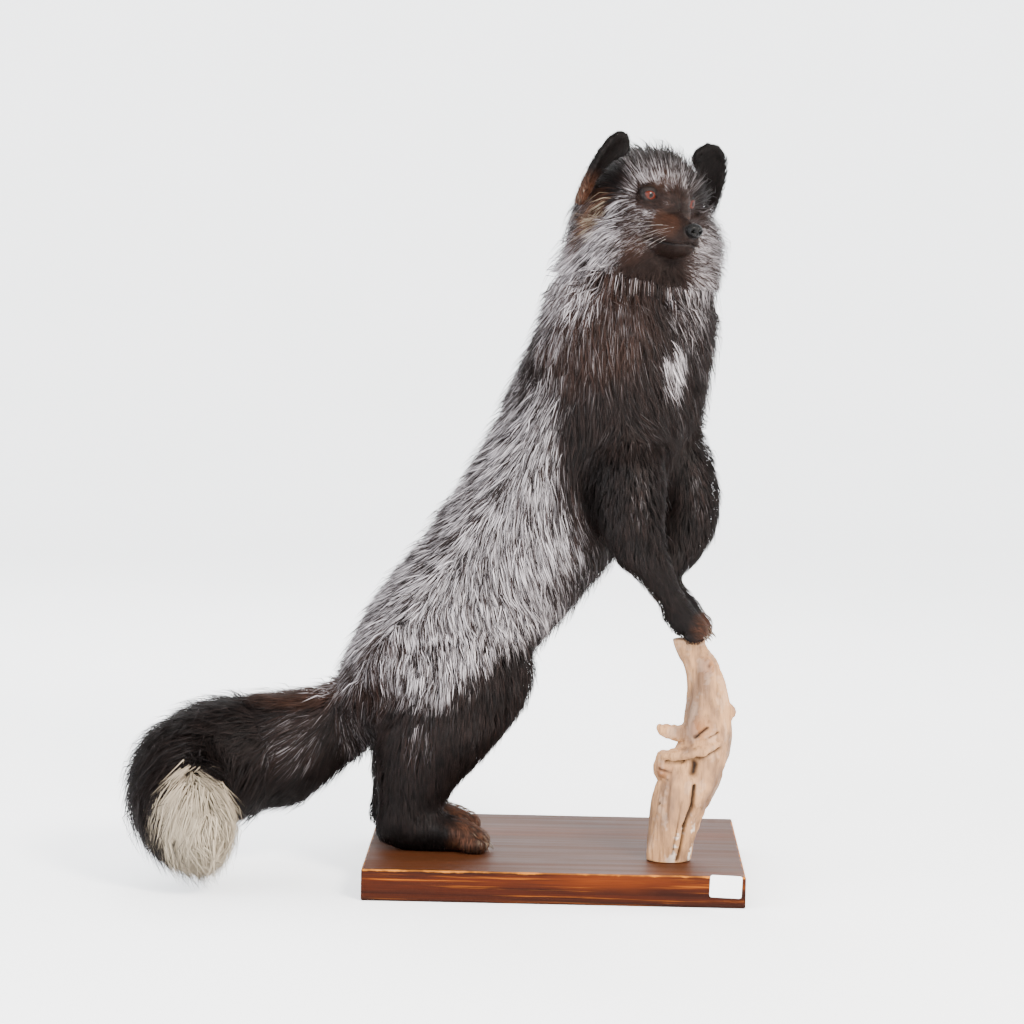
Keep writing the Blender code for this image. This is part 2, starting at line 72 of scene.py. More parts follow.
TRUNK_NODES = ("neck", "chest", "trunk", "rump")
TAIL_NODES = ("tail_root", "tail_middle", "tail_end", "tail_tip")
LIMB_PARTS = ("upper_arm", "forearm", "forepaw", "hind_thigh", "hind_shank", "hind_paw")
LIMB_NODES = both(*LIMB_PARTS)
BODY_NODES = (*TRUNK_NODES, *TAIL_NODES, *LIMB_NODES)
EAR_NODES = both("ear")
FLESH = (*BODY_NODES, "head", *EAR_NODES)
FEET = ("forepaw", "hind_paw")

# How deep the coat is over the hide, the length of a tuft and its breadth, all in millimetres
COAT = {
    "neck": (30, 50, 1.5),
    "chest": (28, 46, 1.5),
    "trunk": (26, 44, 1.5),
    "rump": (25, 44, 1.5),
    "tail_root": (20, 46, 1.5),
    "tail_middle": (36, 58, 1.6),
    "tail_end": (38, 60, 1.6),
    "tail_tip": (30, 52, 1.5),
    "upper_arm": (12, 24, 1.3),
    "forearm": (4.5, 14, 1.1),
    "forepaw": (3.5, 9, 0.9),
    "hind_thigh": (17, 34, 1.4),
    "hind_shank": (9, 26, 1.3),
    "hind_paw": (4.5, 11, 1.0),
    "ear": (1.2, 9, 0.9),
}
# On the head, by distance from the nose: (distance, tuft length, tuft breadth), all in millimetres
HEAD_COAT = (
    (0, 3, 0.6), (25, 5, 0.6), (50, 8, 0.7), (75, 14, 0.8), (100, 25, 1.0), (130, 38, 1.3), (200, 46, 1.5),
)
# And how far its tips stand off the hide at most, by the same distance, in millimetres
FACE_DEPTHS = ((0, 1.2), (30, 2.2), (60, 6.0), (85, 13.0), (115, 40.0))
EAR_DEPTH = 0.0040

# The head under its coat, in the head's frame: (forward, left, up, half width, half height)
SKULL = (
    (-0.108, 0.010, -0.056, 0.040, 0.042),
    (-0.082, 0.009, -0.032, 0.052, 0.050),
    (-0.050, 0.006, -0.018, 0.057, 0.050),
    (-0.022, 0.003, -0.018, 0.050, 0.045),
    (-0.004, 0.000, -0.021, 0.039, 0.041),
    (0.005, 0.000, -0.026, 0.031, 0.035),
)
MUZZLE = (
    (-0.024, 0.000, -0.034, 0.042, 0.034),
    (0.004, 0.000, -0.038, 0.030, 0.030),
    (0.022, 0.000, -0.0405, 0.0262, 0.0268),
    (0.040, 0.000, -0.0415, 0.0215, 0.0235),
    (0.055, 0.000, -0.0420, 0.0170, 0.0195),
    (0.062, 0.000, -0.0410, 0.0130, 0.0150),
)
THROAT = (  # from the back of the jaw down into the neck, in the world
    (0.112, -0.085, 0.845, 0.060, 0.058),
    (0.100, -0.080, 0.790, 0.068, 0.072),
    (0.092, -0.076, 0.740, 0.068, 0.076),
)
NOSE_FORWARD, NOSE_DOWN = 0.068, 0.029  # the nose's middle in the head's frame
EYE_RADIUS = 0.0110
SOCKET_RADIUS = 0.0126  # of the skin round each eye, before its lids are shaped
EYE_DEEPER = 0.0012  # the ball's middle is this far behind the solid's, and its front a little in front
EYE_OUTWARD, EYE_UPWARD = 0.34, 0.06  # where each eye looks, for one forward
EYE_HALF_LENGTH, EYE_HALF_HEIGHT = 0.0096, 0.0060
EYE_SLANT = math.radians(14)  # the outer corner is higher than the inner one
SET_BACK = 0.72  # how far out the skin behind the glass lies, for one eye radius
LID_THICKNESS, UPPER_LID_MORE = 0.0011, 0.0007
LID_FOLD = 0.0008  # how deep the fold round the lids is
LIDS_REACH = 2.6  # how far out the lids are shaped, where their opening's edge is at 1
LIPS = (  # the mouth's line on one side, from under the nose to its corner, in the head's frame
    (0.070, 0.000, -0.0450),
    (0.063, 0.0095, -0.0478),
    (0.050, 0.0165, -0.0500),
    (0.036, 0.0218, -0.0506),
    (0.020, 0.0280, -0.0495),
)
MOUTH_DEPTH, MOUTH_WIDTH = 0.0042, 0.0015
LIP_RISE, LIP_OFF_MOUTH, LIP_WIDTH = 0.0015, 0.0036, 0.0020
LOWER_LIP_SHARE = 0.3  # how full the lower lip is beside the upper
POUCH_RISE, POUCH_WIDTH = 0.0020, 0.008
POUCH_PLACE = (0.018, 0.029, 0.0495)  # the swelling at the mouth's corner: forward, outward, down
BRIDGE_RISE, BRIDGE_WIDTH = 0.0012, 0.005
EAR_SHRINK = -0.0010  # an ear's hide lies this far inside its solid
BALL_IN_OUTLINE, NOSE_IN_OUTLINE = 0.013, 0.010  # radii of the eyes and the nose in the coat's outline
FINE_REACH, FINEST_REACH = 0.014, 0.008  # how far round the face's features its mesh is finer
FACE_BACK = -0.02  # the skin is shaped in front of this, in the head's frame
HIDE_VOXEL = 0.0026
BODY_VOXEL = 0.0045
WOOD_VOXEL = 0.0016
HIDE_TRIANGLES = 190000  # the finished hide's, once the coat has been laid out on a finer one
PATCH = 0.003  # how much of the coat's unwrap each tuft takes


def linear(channel):
    return channel / 12.92 if channel <= 0.04045 else ((channel + 0.055) / 1.055) ** 2.4


def colour(hexes):
    """An sRGB hex colour as linear red, green, blue and alpha."""
    return (*(linear(int(hexes[i : i + 2], 16) / 255) for i in (0, 2, 4)), 1.0)


def dimmed(paint, share):
    """A linear colour at this share of its brightness."""
    return (*(share * channel for channel in paint[:3]), 1)


PAINT = {"subtype": "COLOR", "size": 4, "min": 0, "max": 1}


class FoxCoatSettings(bpy.types.PropertyGroup):
    """Sizes and numbers of the coat's tufts."""

    seed: bpy.props.IntProperty(name="Seed", description="Start of every random draw", default=11, min=0)
    density: bpy.props.FloatProperty(
        name="Density", description="Share of the full number of tufts", default=1.0, min=0.05, max=1.0,
        subtype="FACTOR",
    )
    lock_size: bpy.props.FloatProperty(
        name="Lock size", description="Distance between the locks of hair", default=0.011, min=0.004,
        unit="LENGTH",
    )
    gather: bpy.props.FloatProperty(
        name="Gather", description="How far tufts draw together at their tips", default=0.38, min=0, max=1,
        subtype="FACTOR",
    )


class FoxColourSettings(bpy.types.PropertyGroup):
    """Colours of the coat and the mount."""

    dark: bpy.props.FloatVectorProperty(
        name="Dark hair", description="Base and tips of the guard hairs", default=colour("100c0b"), **PAINT
    )
    brown: bpy.props.FloatVectorProperty(
        name="Brown hair", description="Underfur and faded hair", default=colour("261915"), **PAINT
    )
    silver: bpy.props.FloatVectorProperty(
        name="Silver band", description="Pale band of the guard hairs", default=colour("cfc7c9"), **PAINT
    )
    cream: bpy.props.FloatVectorProperty(
        name="White hair", description="Tail tip and chest patch", default=colour("a2947f"), **PAINT
    )
    rust: bpy.props.FloatVectorProperty(
        name="Rust hair", description="Behind the ears, on the muzzle and toes", default=colour("6f4630"),
        **PAINT,
    )
    iris: bpy.props.FloatVectorProperty(
        name="Iris", description="Glass eye's iris", default=colour("33110a"), **PAINT
    )
    stain: bpy.props.FloatVectorProperty(
        name="Board stain", description="Stained board's middle tone", default=colour("3a1404"), **PAINT
    )
    driftwood: bpy.props.FloatVectorProperty(
        name="Driftwood", description="Bare weathered wood", default=colour("a97e57"), **PAINT
    )


class FoxStageSettings(bpy.types.PropertyGroup):
    """Camera, floor and light."""

    lens: bpy.props.FloatProperty(
        name="Lens", description="Focal length in millimetres", default=126.5625, min=10
    )
    key_power: bpy.props.FloatProperty(
        name="Key light", description="Power", default=315.0, min=0, unit="POWER"
    )
    fill_power: bpy.props.FloatProperty(
        name="Fill light", description="Power", default=80.0, min=0, unit="POWER"
    )
    sky: bpy.props.FloatProperty(
        name="Sky", description="Strength of the light from above", default=1.85, min=0
    )


# Meshes


def smooth_step(value, low, high):
    t = np.clip((value - low) / (high - low), 0, 1)
    return t * t * (3 - 2 * t)


def span(vectors):
    """The length of each vector."""
    return np.linalg.norm(vectors, axis=1)


def swell(distance, width=1.0):
    """1 in the middle of a swelling, falling to 0 beyond about twice its width."""
    return np.exp(-((distance / width) ** 2))


def unit(vectors):
    return vectors / np.maximum(np.linalg.norm(vectors, axis=-1, keepdims=True), 1e-9)


def read(mesh):
    """A mesh's points, point normals and triangles, as arrays."""
    points = np.empty(len(mesh.vertices) * 3, np.float32)
    mesh.vertices.foreach_get("co", points)
    normals = np.empty_like(points)
    mesh.vertex_normals.foreach_get("vector", normals)
    mesh.calc_loop_triangles()
    triangles = np.empty(len(mesh.loop_triangles) * 3, np.int32)
    mesh.loop_triangles.foreach_get("vertices", triangles)
    return points.reshape(-1, 3).astype(float), normals.reshape(-1, 3).astype(float), triangles.reshape(-1, 3)


def edges_of(mesh):
    edges = np.empty(len(mesh.edges) * 2, np.int32)
    mesh.edges.foreach_get("vertices", edges)
    return edges.reshape(-1, 2)


SPREAD_SHARE = 0.6  # how much of its neighbours' value a point takes in each round


def spread(values, edges, rounds):
    """Evens out values given at a mesh's points, along its edges."""
    values = np.asarray(values, float)
    flat = values.reshape(len(values), -1)
    count = np.maximum(np.bincount(edges.ravel(), minlength=len(flat)), 1)
    for _ in range(rounds):
        total = np.empty_like(flat)
        for column in range(flat.shape[1]):
            there = np.bincount(edges[:, 0], flat[edges[:, 1], column], len(flat))
            back = np.bincount(edges[:, 1], flat[edges[:, 0], column], len(flat))
            total[:, column] = (there + back) / count
        flat = (1 - SPREAD_SHARE) * flat + SPREAD_SHARE * total
    return flat.reshape(values.shape)


def new_object(name, mesh):
    made = bpy.data.objects.new(name, mesh)
    bpy.context.scene.collection.objects.link(made)
    return made


def evaluated(obj):
    """The object with its modifiers made part of its mesh."""
    graph = bpy.context.evaluated_depsgraph_get()
    mesh = bpy.data.meshes.new_from_object(obj.evaluated_get(graph))
    obj.modifiers.clear()
    obj.data = mesh
    return obj


def remeshed(name, bm, voxel, rounds):
    """One closed skin round overlapping closed shapes, smoothed."""
    mesh = bpy.data.meshes.new(name)
    bm.to_mesh(mesh)
    bm.free()
    obj = new_object(name, mesh)
    step = obj.modifiers.new("one_skin", "REMESH")
    step.mode = "VOXEL"
    step.voxel_size = voxel
    step.use_smooth_shade = True
    if rounds:
        soften = obj.modifiers.new("soften", "SMOOTH")
        soften.factor = 0.5
        soften.iterations = rounds
    return evaluated(obj)


def add_solid(bm, node, plump):
    """A copy of a frame solid, merged and grown by this much."""
    part = bmesh.new()
    part.from_mesh(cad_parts[node].data)
    bmesh.ops.remove_doubles(part, verts=part.verts, dist=1e-5)
    part.normal_update()
    moves = [vert.normal.copy() * plump for vert in part.verts]
    for vert, move in zip(part.verts, moves):
        vert.co += move
    copy = bpy.data.meshes.new("grown")
    part.to_mesh(copy)
    part.free()
    bm.from_mesh(copy)
    bpy.data.meshes.remove(copy)


def smooth_rows(rows, steps):
    """Rows on a Catmull-Rom curve through these rows."""
    table = np.array(rows, float)
    padded = np.vstack([2 * table[0] - table[1], table, 2 * table[-1] - table[-2]])
    made = []
    for i in range(len(table) - 1):
        a, b, c, d = padded[i : i + 4]
        for t in np.arange(steps) / steps:
            square = (2 * a - 5 * b + 4 * c - d) * t**2
            cube = (3 * b - a - 3 * c + d) * t**3
            made.append((2 * b + (c - a) * t + square + cube) / 2)
    return np.array([*made, table[-1]])


DOME_DEPTH = 0.45  # how far a loft's rounded ends stand out, for each radius
DOME_ANGLES = (20, 46, 69)  # of the rings on a rounded end, in degrees from its pole
LOFT_SIDES, LOFT_STEPS = 28, 4


def add_loft(bm, stations, place, power=2.0):
    """A closed round-ended tube, its sections square to the run of the stations, set in this place."""
    rows = smooth_rows(stations, LOFT_STEPS)
    along = unit(np.gradient(rows[:, :3], axis=0))
    dome = np.sin(np.radians(DOME_ANGLES))
    rings = [(0, -DOME_DEPTH * math.sqrt(1 - s * s), s) for s in dome]
    rings += [(i, 0, 1) for i in range(len(rows))]
    rings += [(len(rows) - 1, DOME_DEPTH * math.sqrt(1 - s * s), s) for s in dome[::-1]]
    turns = np.linspace(0, 2 * math.pi, LOFT_SIDES, endpoint=False)
    round_x = np.sign(np.cos(turns)) * np.abs(np.cos(turns)) ** (2 / power)
    round_y = np.sign(np.sin(turns)) * np.abs(np.sin(turns)) ** (2 / power)
    upright = abs(along[0] @ (0, 0, 1)) > 0.7
    loops = []
    for index, reach, scale in rings:
        forward = along[index]
        across = unit(np.cross((1, 0, 0) if upright else (0, 0, 1), forward))
        deep = np.cross(forward, across)
        wide, tall = rows[index, 3:5] * scale
        centre = rows[index, :3] + forward * reach * min(rows[index, 3:5])
        points = centre + np.outer(round_x * wide, across) + np.outer(round_y * tall, deep)
        loops.append([bm.verts.new(place @ Vector(point)) for point in points])
    faces = [bm.faces.new(loops[0]), bm.faces.new(loops[-1])]
    for low, high in zip(loops, loops[1:]):
        for k in range(LOFT_SIDES):
            after = (k + 1) % LOFT_SIDES
            faces.append(bm.faces.new((low[k], low[after], high[after], high[k])))
    bmesh.ops.recalc_face_normals(bm, faces=faces)


def tree_of(obj):
    points, _, triangles = read(obj.data)
    return BVHTree.FromPolygons([Vector(p) for p in points], triangles.tolist())


def nearest(tree, points):
    """For each point: the nearest place on the surface, its face and its distance."""
    places = np.empty((len(points), 3))
    faces = np.empty(len(points), int)
    gaps = np.empty(len(points))
    for i, point in enumerate(points.tolist()):
        places[i], _, faces[i], gaps[i] = tree.find_nearest(point)
    return places, faces, gaps


def noise_at(points, size, shift=0.0):
    """Smooth noise from -1 to 1 at each point, with features about this size."""
    scaled = points / size + shift
    return np.array([noise.noise(p) for p in scaled.tolist()])


# The head's frame


def node_middle(node):
    low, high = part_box(node)
    return (low + high) / 2


def head_frame():
    """From the head's frame to the world, found from where the eyes and the nose are."""
    right, left, nose = (node_middle(node) for node in ("eye_right", "eye_left", "nose"))
    middle = (right + left) / 2
    leftward = (left - right).normalized()
    to_nose = nose - middle
    to_nose = (to_nose - leftward * to_nose.dot(leftward)).normalized()
    square = to_nose.cross(leftward)
    drop = math.atan2(NOSE_DOWN, NOSE_FORWARD)
    forward = to_nose * math.cos(drop) + square * math.sin(drop)
    up = square * math.cos(drop) - to_nose * math.sin(drop)
    return Matrix.Translation(middle) @ Matrix((forward, leftward, up)).transposed().to_4x4()


HEAD = head_frame()
HEAD_TURN = np.array(HEAD.to_3x3())


def in_head(points):
    """World points in the head's frame."""
    return (np.asarray(points) - np.array(HEAD.translation)) @ HEAD_TURN


def eye_axes(side):
    """An eye's middle, where it looks, its inner corner's direction and its up, all in the head's frame."""
    out = SIDES[side]
    middle = in_head([node_middle(f"eye_{side}")])[0]
    look = unit(np.array((1, out * EYE_OUTWARD, EYE_UPWARD)))
    inward = np.array((0.0, -out, 0.0))
    inward = unit(inward - look * (inward @ look))
    up = np.cross(look, inward)
    up = up if up[2] > 0 else -up
    middle = middle - look * EYE_DEEPER
    turned = unit(inward * math.cos(EYE_SLANT) - up * math.sin(EYE_SLANT))
    return middle, look, turned, unit(up * math.cos(EYE_SLANT) + inward * math.sin(EYE_SLANT))


def eye_reach(local, side):
    """How far round an eye's opening each point is: 1 on the edge of the lids, less inside, 99 far off."""
    middle, look, inward, up = eye_axes(side)
    away = local - middle
    a, b, d = away @ inward / EYE_HALF_LENGTH, away @ up / EYE_HALF_HEIGHT, away @ look
    pointed = 1 - 0.30 * np.clip(a, -1, 1) ** 2
    reach = np.hypot(a, b / pointed)
    return np.where((d > 0.0) & (span(away) < 0.026), reach, 99.0)


def lip_line():
    rows = smooth_rows(LIPS, 6)
    mirrored = rows * (1, -1, 1)
    return np.vstack([rows[::-1], mirrored[1:]])


def off_lips(local):
    """Each point's distance from the mouth's line, and how far it is above it."""
    line = lip_line()
    gap = np.full(len(local), 9.0)
    above = np.zeros(len(local))
    near = np.nonzero((local[:, 0] > 0) & (np.abs(local[:, 1]) < 0.05))[0]
    if len(near):
        away = local[near, None, :] - line[None]
        far = np.linalg.norm(away, axis=2)
        pick = far.argmin(axis=1)
        gap[near] = far[np.arange(len(near)), pick]
        above[near] = away[np.arange(len(near)), pick, 2]
    return gap, above


# The hide under the coat

WORK = {}  # what one operator makes and later ones need
CHAINS = {
    "torso": ("head", "neck", "chest", "trunk", "rump"),
    "tail": ("rump", *TAIL_NODES),
    **{f"foreleg_{side}": ("chest", *(f"{part}_{side}" for part in LIMB_PARTS[:3])) for side in SIDES},
    **{f"hind_leg_{side}": ("rump", *(f"{part}_{side}" for part in LIMB_PARTS[3:])) for side in SIDES},
}
GROWN = 0.0007  # closes the thin cuts between the solids
MIDLINE = ((0.075, 0, -0.040), (-0.020, 0, -0.032), (-0.115, 0, -0.045))  # the head's, in its own frame
TOES = 4
TOE_SIZES = {"forepaw": (0.0130, 0.0056, 0.0072), "hind_paw": (0.0180, 0.0074, 0.0092)}


def kind_of(node):
    """A node's name without its side."""
    for side in SIDES:
        node = node.removesuffix(f"_{side}")
    return node


def middle_of(node):
    points, _, _ = read(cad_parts[node].data)
    return points.mean(axis=0)


def line_of(chain):
    """The line that a chain of nodes, the head or an ear runs along."""
    if chain == "head":
        return smooth_rows([HEAD @ Vector(point) for point in MIDLINE], 6)
    if chain.startswith("ear"):
        low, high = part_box(chain)
        middle = (low + high) / 2
        return np.array([(middle[0], middle[1], low[2]), (middle[0], middle[1], high[2])])
    return smooth_rows([middle_of(node) for node in CHAINS[chain]], 6)


def follow(points, chain):
    """How far along the chain each point is, which way the chain runs there, and the point's offset."""
    line = line_of(chain)
    steps = np.diff(line, axis=0)
    lengths = span(steps)
    starts = np.concatenate([[0], np.cumsum(lengths)[:-1]])
    away = points[:, None, :] - line[None, :-1]
    share = (away * steps).sum(axis=2) / lengths**2
    low = np.where(np.arange(len(steps)) == 0, -9, 0)
    high = np.where(np.arange(len(steps)) == len(steps) - 1, 9, 1)
    share = np.clip(share, low, high)
    offsets = away - share[..., None] * steps[None]
    pick = (offsets**2).sum(axis=2).argmin(axis=1)
    rows = np.arange(len(points))
    run = starts[pick] + share[rows, pick] * lengths[pick]
    return run, steps[pick] / lengths[pick, None], offsets[rows, pick]


def label(points):
    """The index in FLESH of the node nearest to each point."""
    if "flesh" not in WORK:
        corners, triangles, owners = [], [], []
        for index, node in enumerate(FLESH):
            own, _, faces = read(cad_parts[node].data)
            triangles.extend((faces + sum(map(len, corners))).tolist())
            corners.append(own)
            owners.extend([index] * len(faces))
        solids = BVHTree.FromPolygons([Vector(p) for p in np.vstack(corners)], triangles)
        WORK["flesh"] = solids, np.array(owners)
    tree, owners = WORK["flesh"]
    return owners[nearest(tree, points)[1]]


def toe_places(side, paw):
    """The middle of each toe of a paw, in the world, outermost first."""
    low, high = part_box(f"{paw}_{side}")
    length, breadth, height = TOE_SIZES[paw]
    middle = (low.y + high.y) / 2
    half = (high.y - low.y) / 2 - breadth - 0.002
    for i in range(TOES):
        across = (2 * i / (TOES - 1) - 1) * half
        back = 0.0055 * abs(2 * i / (TOES - 1) - 1) ** 1.5
        yield Vector((high.x - length - 0.0015 - back, middle + across, low.z + height + 0.0012))


def add_ball(bm, middle, radii):
    made = bmesh.ops.create_uvsphere(bm, u_segments=24, v_segments=12, radius=1)
    for vert in made["verts"]:
        vert.co = Vector(np.array(vert.co) * radii) + middle


def make_core():
    """The body's flesh without the head, each part thinner than its solid by its coat's depth."""
    bm = bmesh.new()
    for node in BODY_NODES:
        add_solid(bm, node, GROWN)
    core = remeshed("body_core", bm, BODY_VOXEL, 6)
    points, normals, _ = read(core.data)
    edges = edges_of(core.data)
    depths = np.array([COAT.get(kind_of(node), COAT["neck"])[0] for node in FLESH]) * MM
    depth = spread(depths[label(points)], edges, 12)
    inward = unit(spread(normals, edges, 10))
    moved = points - inward * depth[:, None]
    core.data.vertices.foreach_set("co", moved.ravel())
    return core


def refine(bm, near):
    """Cuts the edges whose ends this test picks into two."""
    points = np.array([vert.co for vert in bm.verts])
    chosen = near(in_head(points))
    bm.verts.ensure_lookup_table()
    edges = [edge for edge in bm.edges if chosen[edge.verts[0].index] and chosen[edge.verts[1].index]]
    bmesh.ops.subdivide_edges(bm, edges=edges, cuts=1, use_grid_fill=True)
    bm.verts.index_update()


def near_features(reach):
    """A test for points within this reach of the eyes, the mouth or the nose."""

    def test(local):
        gap, _ = off_lips(local)
        eyes = [span(local - eye_axes(side)[0]) for side in SIDES]
        nose = span(local - (NOSE_FORWARD, 0, -NOSE_DOWN))
        return (np.minimum(*eyes) < 0.012 + reach) | (gap < reach * 0.6) | (nose < 0.010 + reach * 0.6)

    return test


def shape_lids(local, side):
    """Sets the skin back behind each glass eye inside its opening, and lays the lids over it."""
    middle, look, _, up = eye_axes(side)
    reach = eye_reach(local, side)
    away = local - middle
    far = span(away)
    rim = (reach > 0.86) & (reach < 1.16)
    tangent = away - (away @ look)[:, None] * look
    snapped = away + tangent * (np.where(reach < 1, 0.97, 1.03) / np.maximum(reach, 0.1) - 1)[:, None]
    away = np.where(rim[:, None], snapped, away)
    away_unit = unit(away)
    upper = smooth_step(away @ up, -0.002, 0.004)
    lid = EYE_RADIUS + LID_THICKNESS + UPPER_LID_MORE * upper
    held = 1 - smooth_step(reach, 1.15, 2.5)
    wanted = np.where(reach < 1, EYE_RADIUS * SET_BACK, far + (lid - far) * held)
    fold = LID_FOLD * swell(reach - 1.95, 0.16)
    moved = middle + away_unit * (wanted - fold)[:, None]
    return np.where((reach < LIDS_REACH)[:, None], moved, local)


def shape_face(local, normals):
    """Lids, lips, the corner of the mouth, the bridge of the muzzle and the hollow under each eye."""
    for side in SIDES:
        local = shape_lids(local, side)
    gap, above = off_lips(local)
    groove = MOUTH_DEPTH * swell(gap, MOUTH_WIDTH)
    lips = LIP_RISE * swell(gap - LIP_OFF_MOUTH, LIP_WIDTH) * np.where(above > 0, 1.0, LOWER_LIP_SHARE)
    pouch = POUCH_RISE * swell(span(np.abs(local) - POUCH_PLACE), POUCH_WIDTH)
    bridge = BRIDGE_RISE * swell(local[:, 1], BRIDGE_WIDTH) * smooth_step(local[:, 0], 0.010, 0.035)
    bridge *= smooth_step(local[:, 2], -0.035, -0.015)
    return local + normals * (lips + pouch + bridge - groove)[:, None]


def make_hide():
    core = make_core()
    bm = bmesh.new()
    bm.from_mesh(core.data)
    bpy.data.objects.remove(core)
    add_loft(bm, SKULL, HEAD)
    add_loft(bm, MUZZLE, HEAD, power=2.1)
    add_loft(bm, THROAT, Matrix.Identity(4))
    for ear in EAR_NODES:
        add_solid(bm, ear, EAR_SHRINK)
    for side in SIDES:
        add_ball(bm, node_middle(f"eye_{side}"), (SOCKET_RADIUS,) * 3)
    for paw in TOE_SIZES:
        for side in SIDES:
            for place in toe_places(side, paw):
                add_ball(bm, place, TOE_SIZES[paw])
    hide = remeshed("hide", bm, HIDE_VOXEL, 3)
    bm = bmesh.new()
    bm.from_mesh(hide.data)
    for reach in (FINE_REACH, FINEST_REACH):
        refine(bm, near_features(reach))
    bm.to_mesh(hide.data)
    bm.free()
    points, normals, _ = read(hide.data)
    close = np.nonzero(in_head(points)[:, 0] > FACE_BACK)[0]
    local = shape_face(in_head(points[close]), normals[close] @ HEAD_TURN)
    points[close] = local @ HEAD_TURN.T + np.array(HEAD.translation)
    hide.data.vertices.foreach_set("co", points.ravel())
    hide.data.update()
    hide.data.shade_smooth()
    return hide


def make_envelope():
    """The outline of the flesh at the tips of its coat, as one surface."""
    bm = bmesh.new()
    for node in (*BODY_NODES, "head"):
        add_solid(bm, node, GROWN)
    for side in SIDES:
        add_ball(bm, node_middle(f"eye_{side}"), (BALL_IN_OUTLINE,) * 3)
    add_ball(bm, node_middle("nose"), (NOSE_IN_OUTLINE,) * 3)
    return remeshed("envelope", bm, BODY_VOXEL, 4)


# Markings: which hair is silver, white or rust, as soft-edged shapes with their places in metres

# The silver saddle's edge, from the hip along the flank and up behind the shoulder: (x, z)
SADDLE = (
    (-0.300, 0.225), (-0.200, 0.222), (-0.129, 0.226), (-0.076, 0.284), (-0.006, 0.310), (0.033, 0.373),
    (0.048, 0.430), (0.037, 0.487), (0.010, 0.545), (0.004, 0.610), (0.020, 0.680),
)
# Colour, middle, radii and strength of each patch on the body
BODY_PATCHES = (
    ("silver", (-0.042, -0.110, 0.760), (0.082, 0.140, 0.092), 0.66),
    ("silver", (0.010, 0.060, 0.750), (0.085, 0.120, 0.080), 0.60),
    ("silver", (0.160, -0.130, 0.735), (0.034, 0.060, 0.060), 0.26),
    ("silver", (0.098, -0.185, 0.500), (0.014, 0.050, 0.044), 0.30),
    ("silver", (0.176, -0.090, 0.505), (0.014, 0.060, 0.044), 0.30),
    ("silver", (-0.176, -0.110, 0.173), (0.026, 0.050, 0.034), 0.30),
    ("silver", (-0.176, 0.090, 0.173), (0.026, 0.050, 0.034), 0.26),
    ("silver", (-0.350, -0.060, 0.172), (0.044, 0.070, 0.050), 0.38),
    ("silver", (-0.250, -0.030, 0.185), (0.036, 0.120, 0.080), 0.24),
    ("silver", (-0.262, 0.000, 0.246), (0.050, 0.090, 0.034), -0.30),
    ("silver", (0.020, -0.160, 0.520), (0.040, 0.060, 0.090), -0.25),
    ("silver", (0.141, -0.160, 0.652), (0.017, 0.040, 0.036), 0.80),
    ("silver", (0.115, -0.170, 0.786), (0.052, 0.060, 0.034), -0.55),
    ("silver", (0.030, -0.160, 0.715), (0.080, 0.080, 0.075), 0.13),
    ("rust", (-0.330, 0.000, 0.235), (0.080, 0.070, 0.030), 0.14),
    ("rust", (-0.230, -0.080, 0.270), (0.050, 0.060, 0.060), 0.04),
    ("rust", (0.030, -0.160, 0.715), (0.090, 0.080, 0.085), 0.07),
    ("rust", (-0.104, -0.075, 0.062), (0.040, 0.050, 0.026), 0.44),
    ("rust", (-0.119, 0.050, 0.062), (0.040, 0.050, 0.026), 0.44),
    ("rust", (0.187, -0.110, 0.335), (0.030, 0.050, 0.024), 0.34),
    ("pale", (-0.440, -0.236, 0.112), (0.066, 0.090, 0.074), 1.30),
    ("pale", (-0.440, -0.200, 0.070), (0.058, 0.080, 0.052), 1.00),
    ("pale", (-0.090, -0.080, 0.060), (0.022, 0.050, 0.020), 0.12),
    ("pale", (-0.105, 0.050, 0.060), (0.022, 0.050, 0.020), 0.10),
    ("pale", (0.192, -0.110, 0.326), (0.014, 0.050, 0.010), 0.20),
)
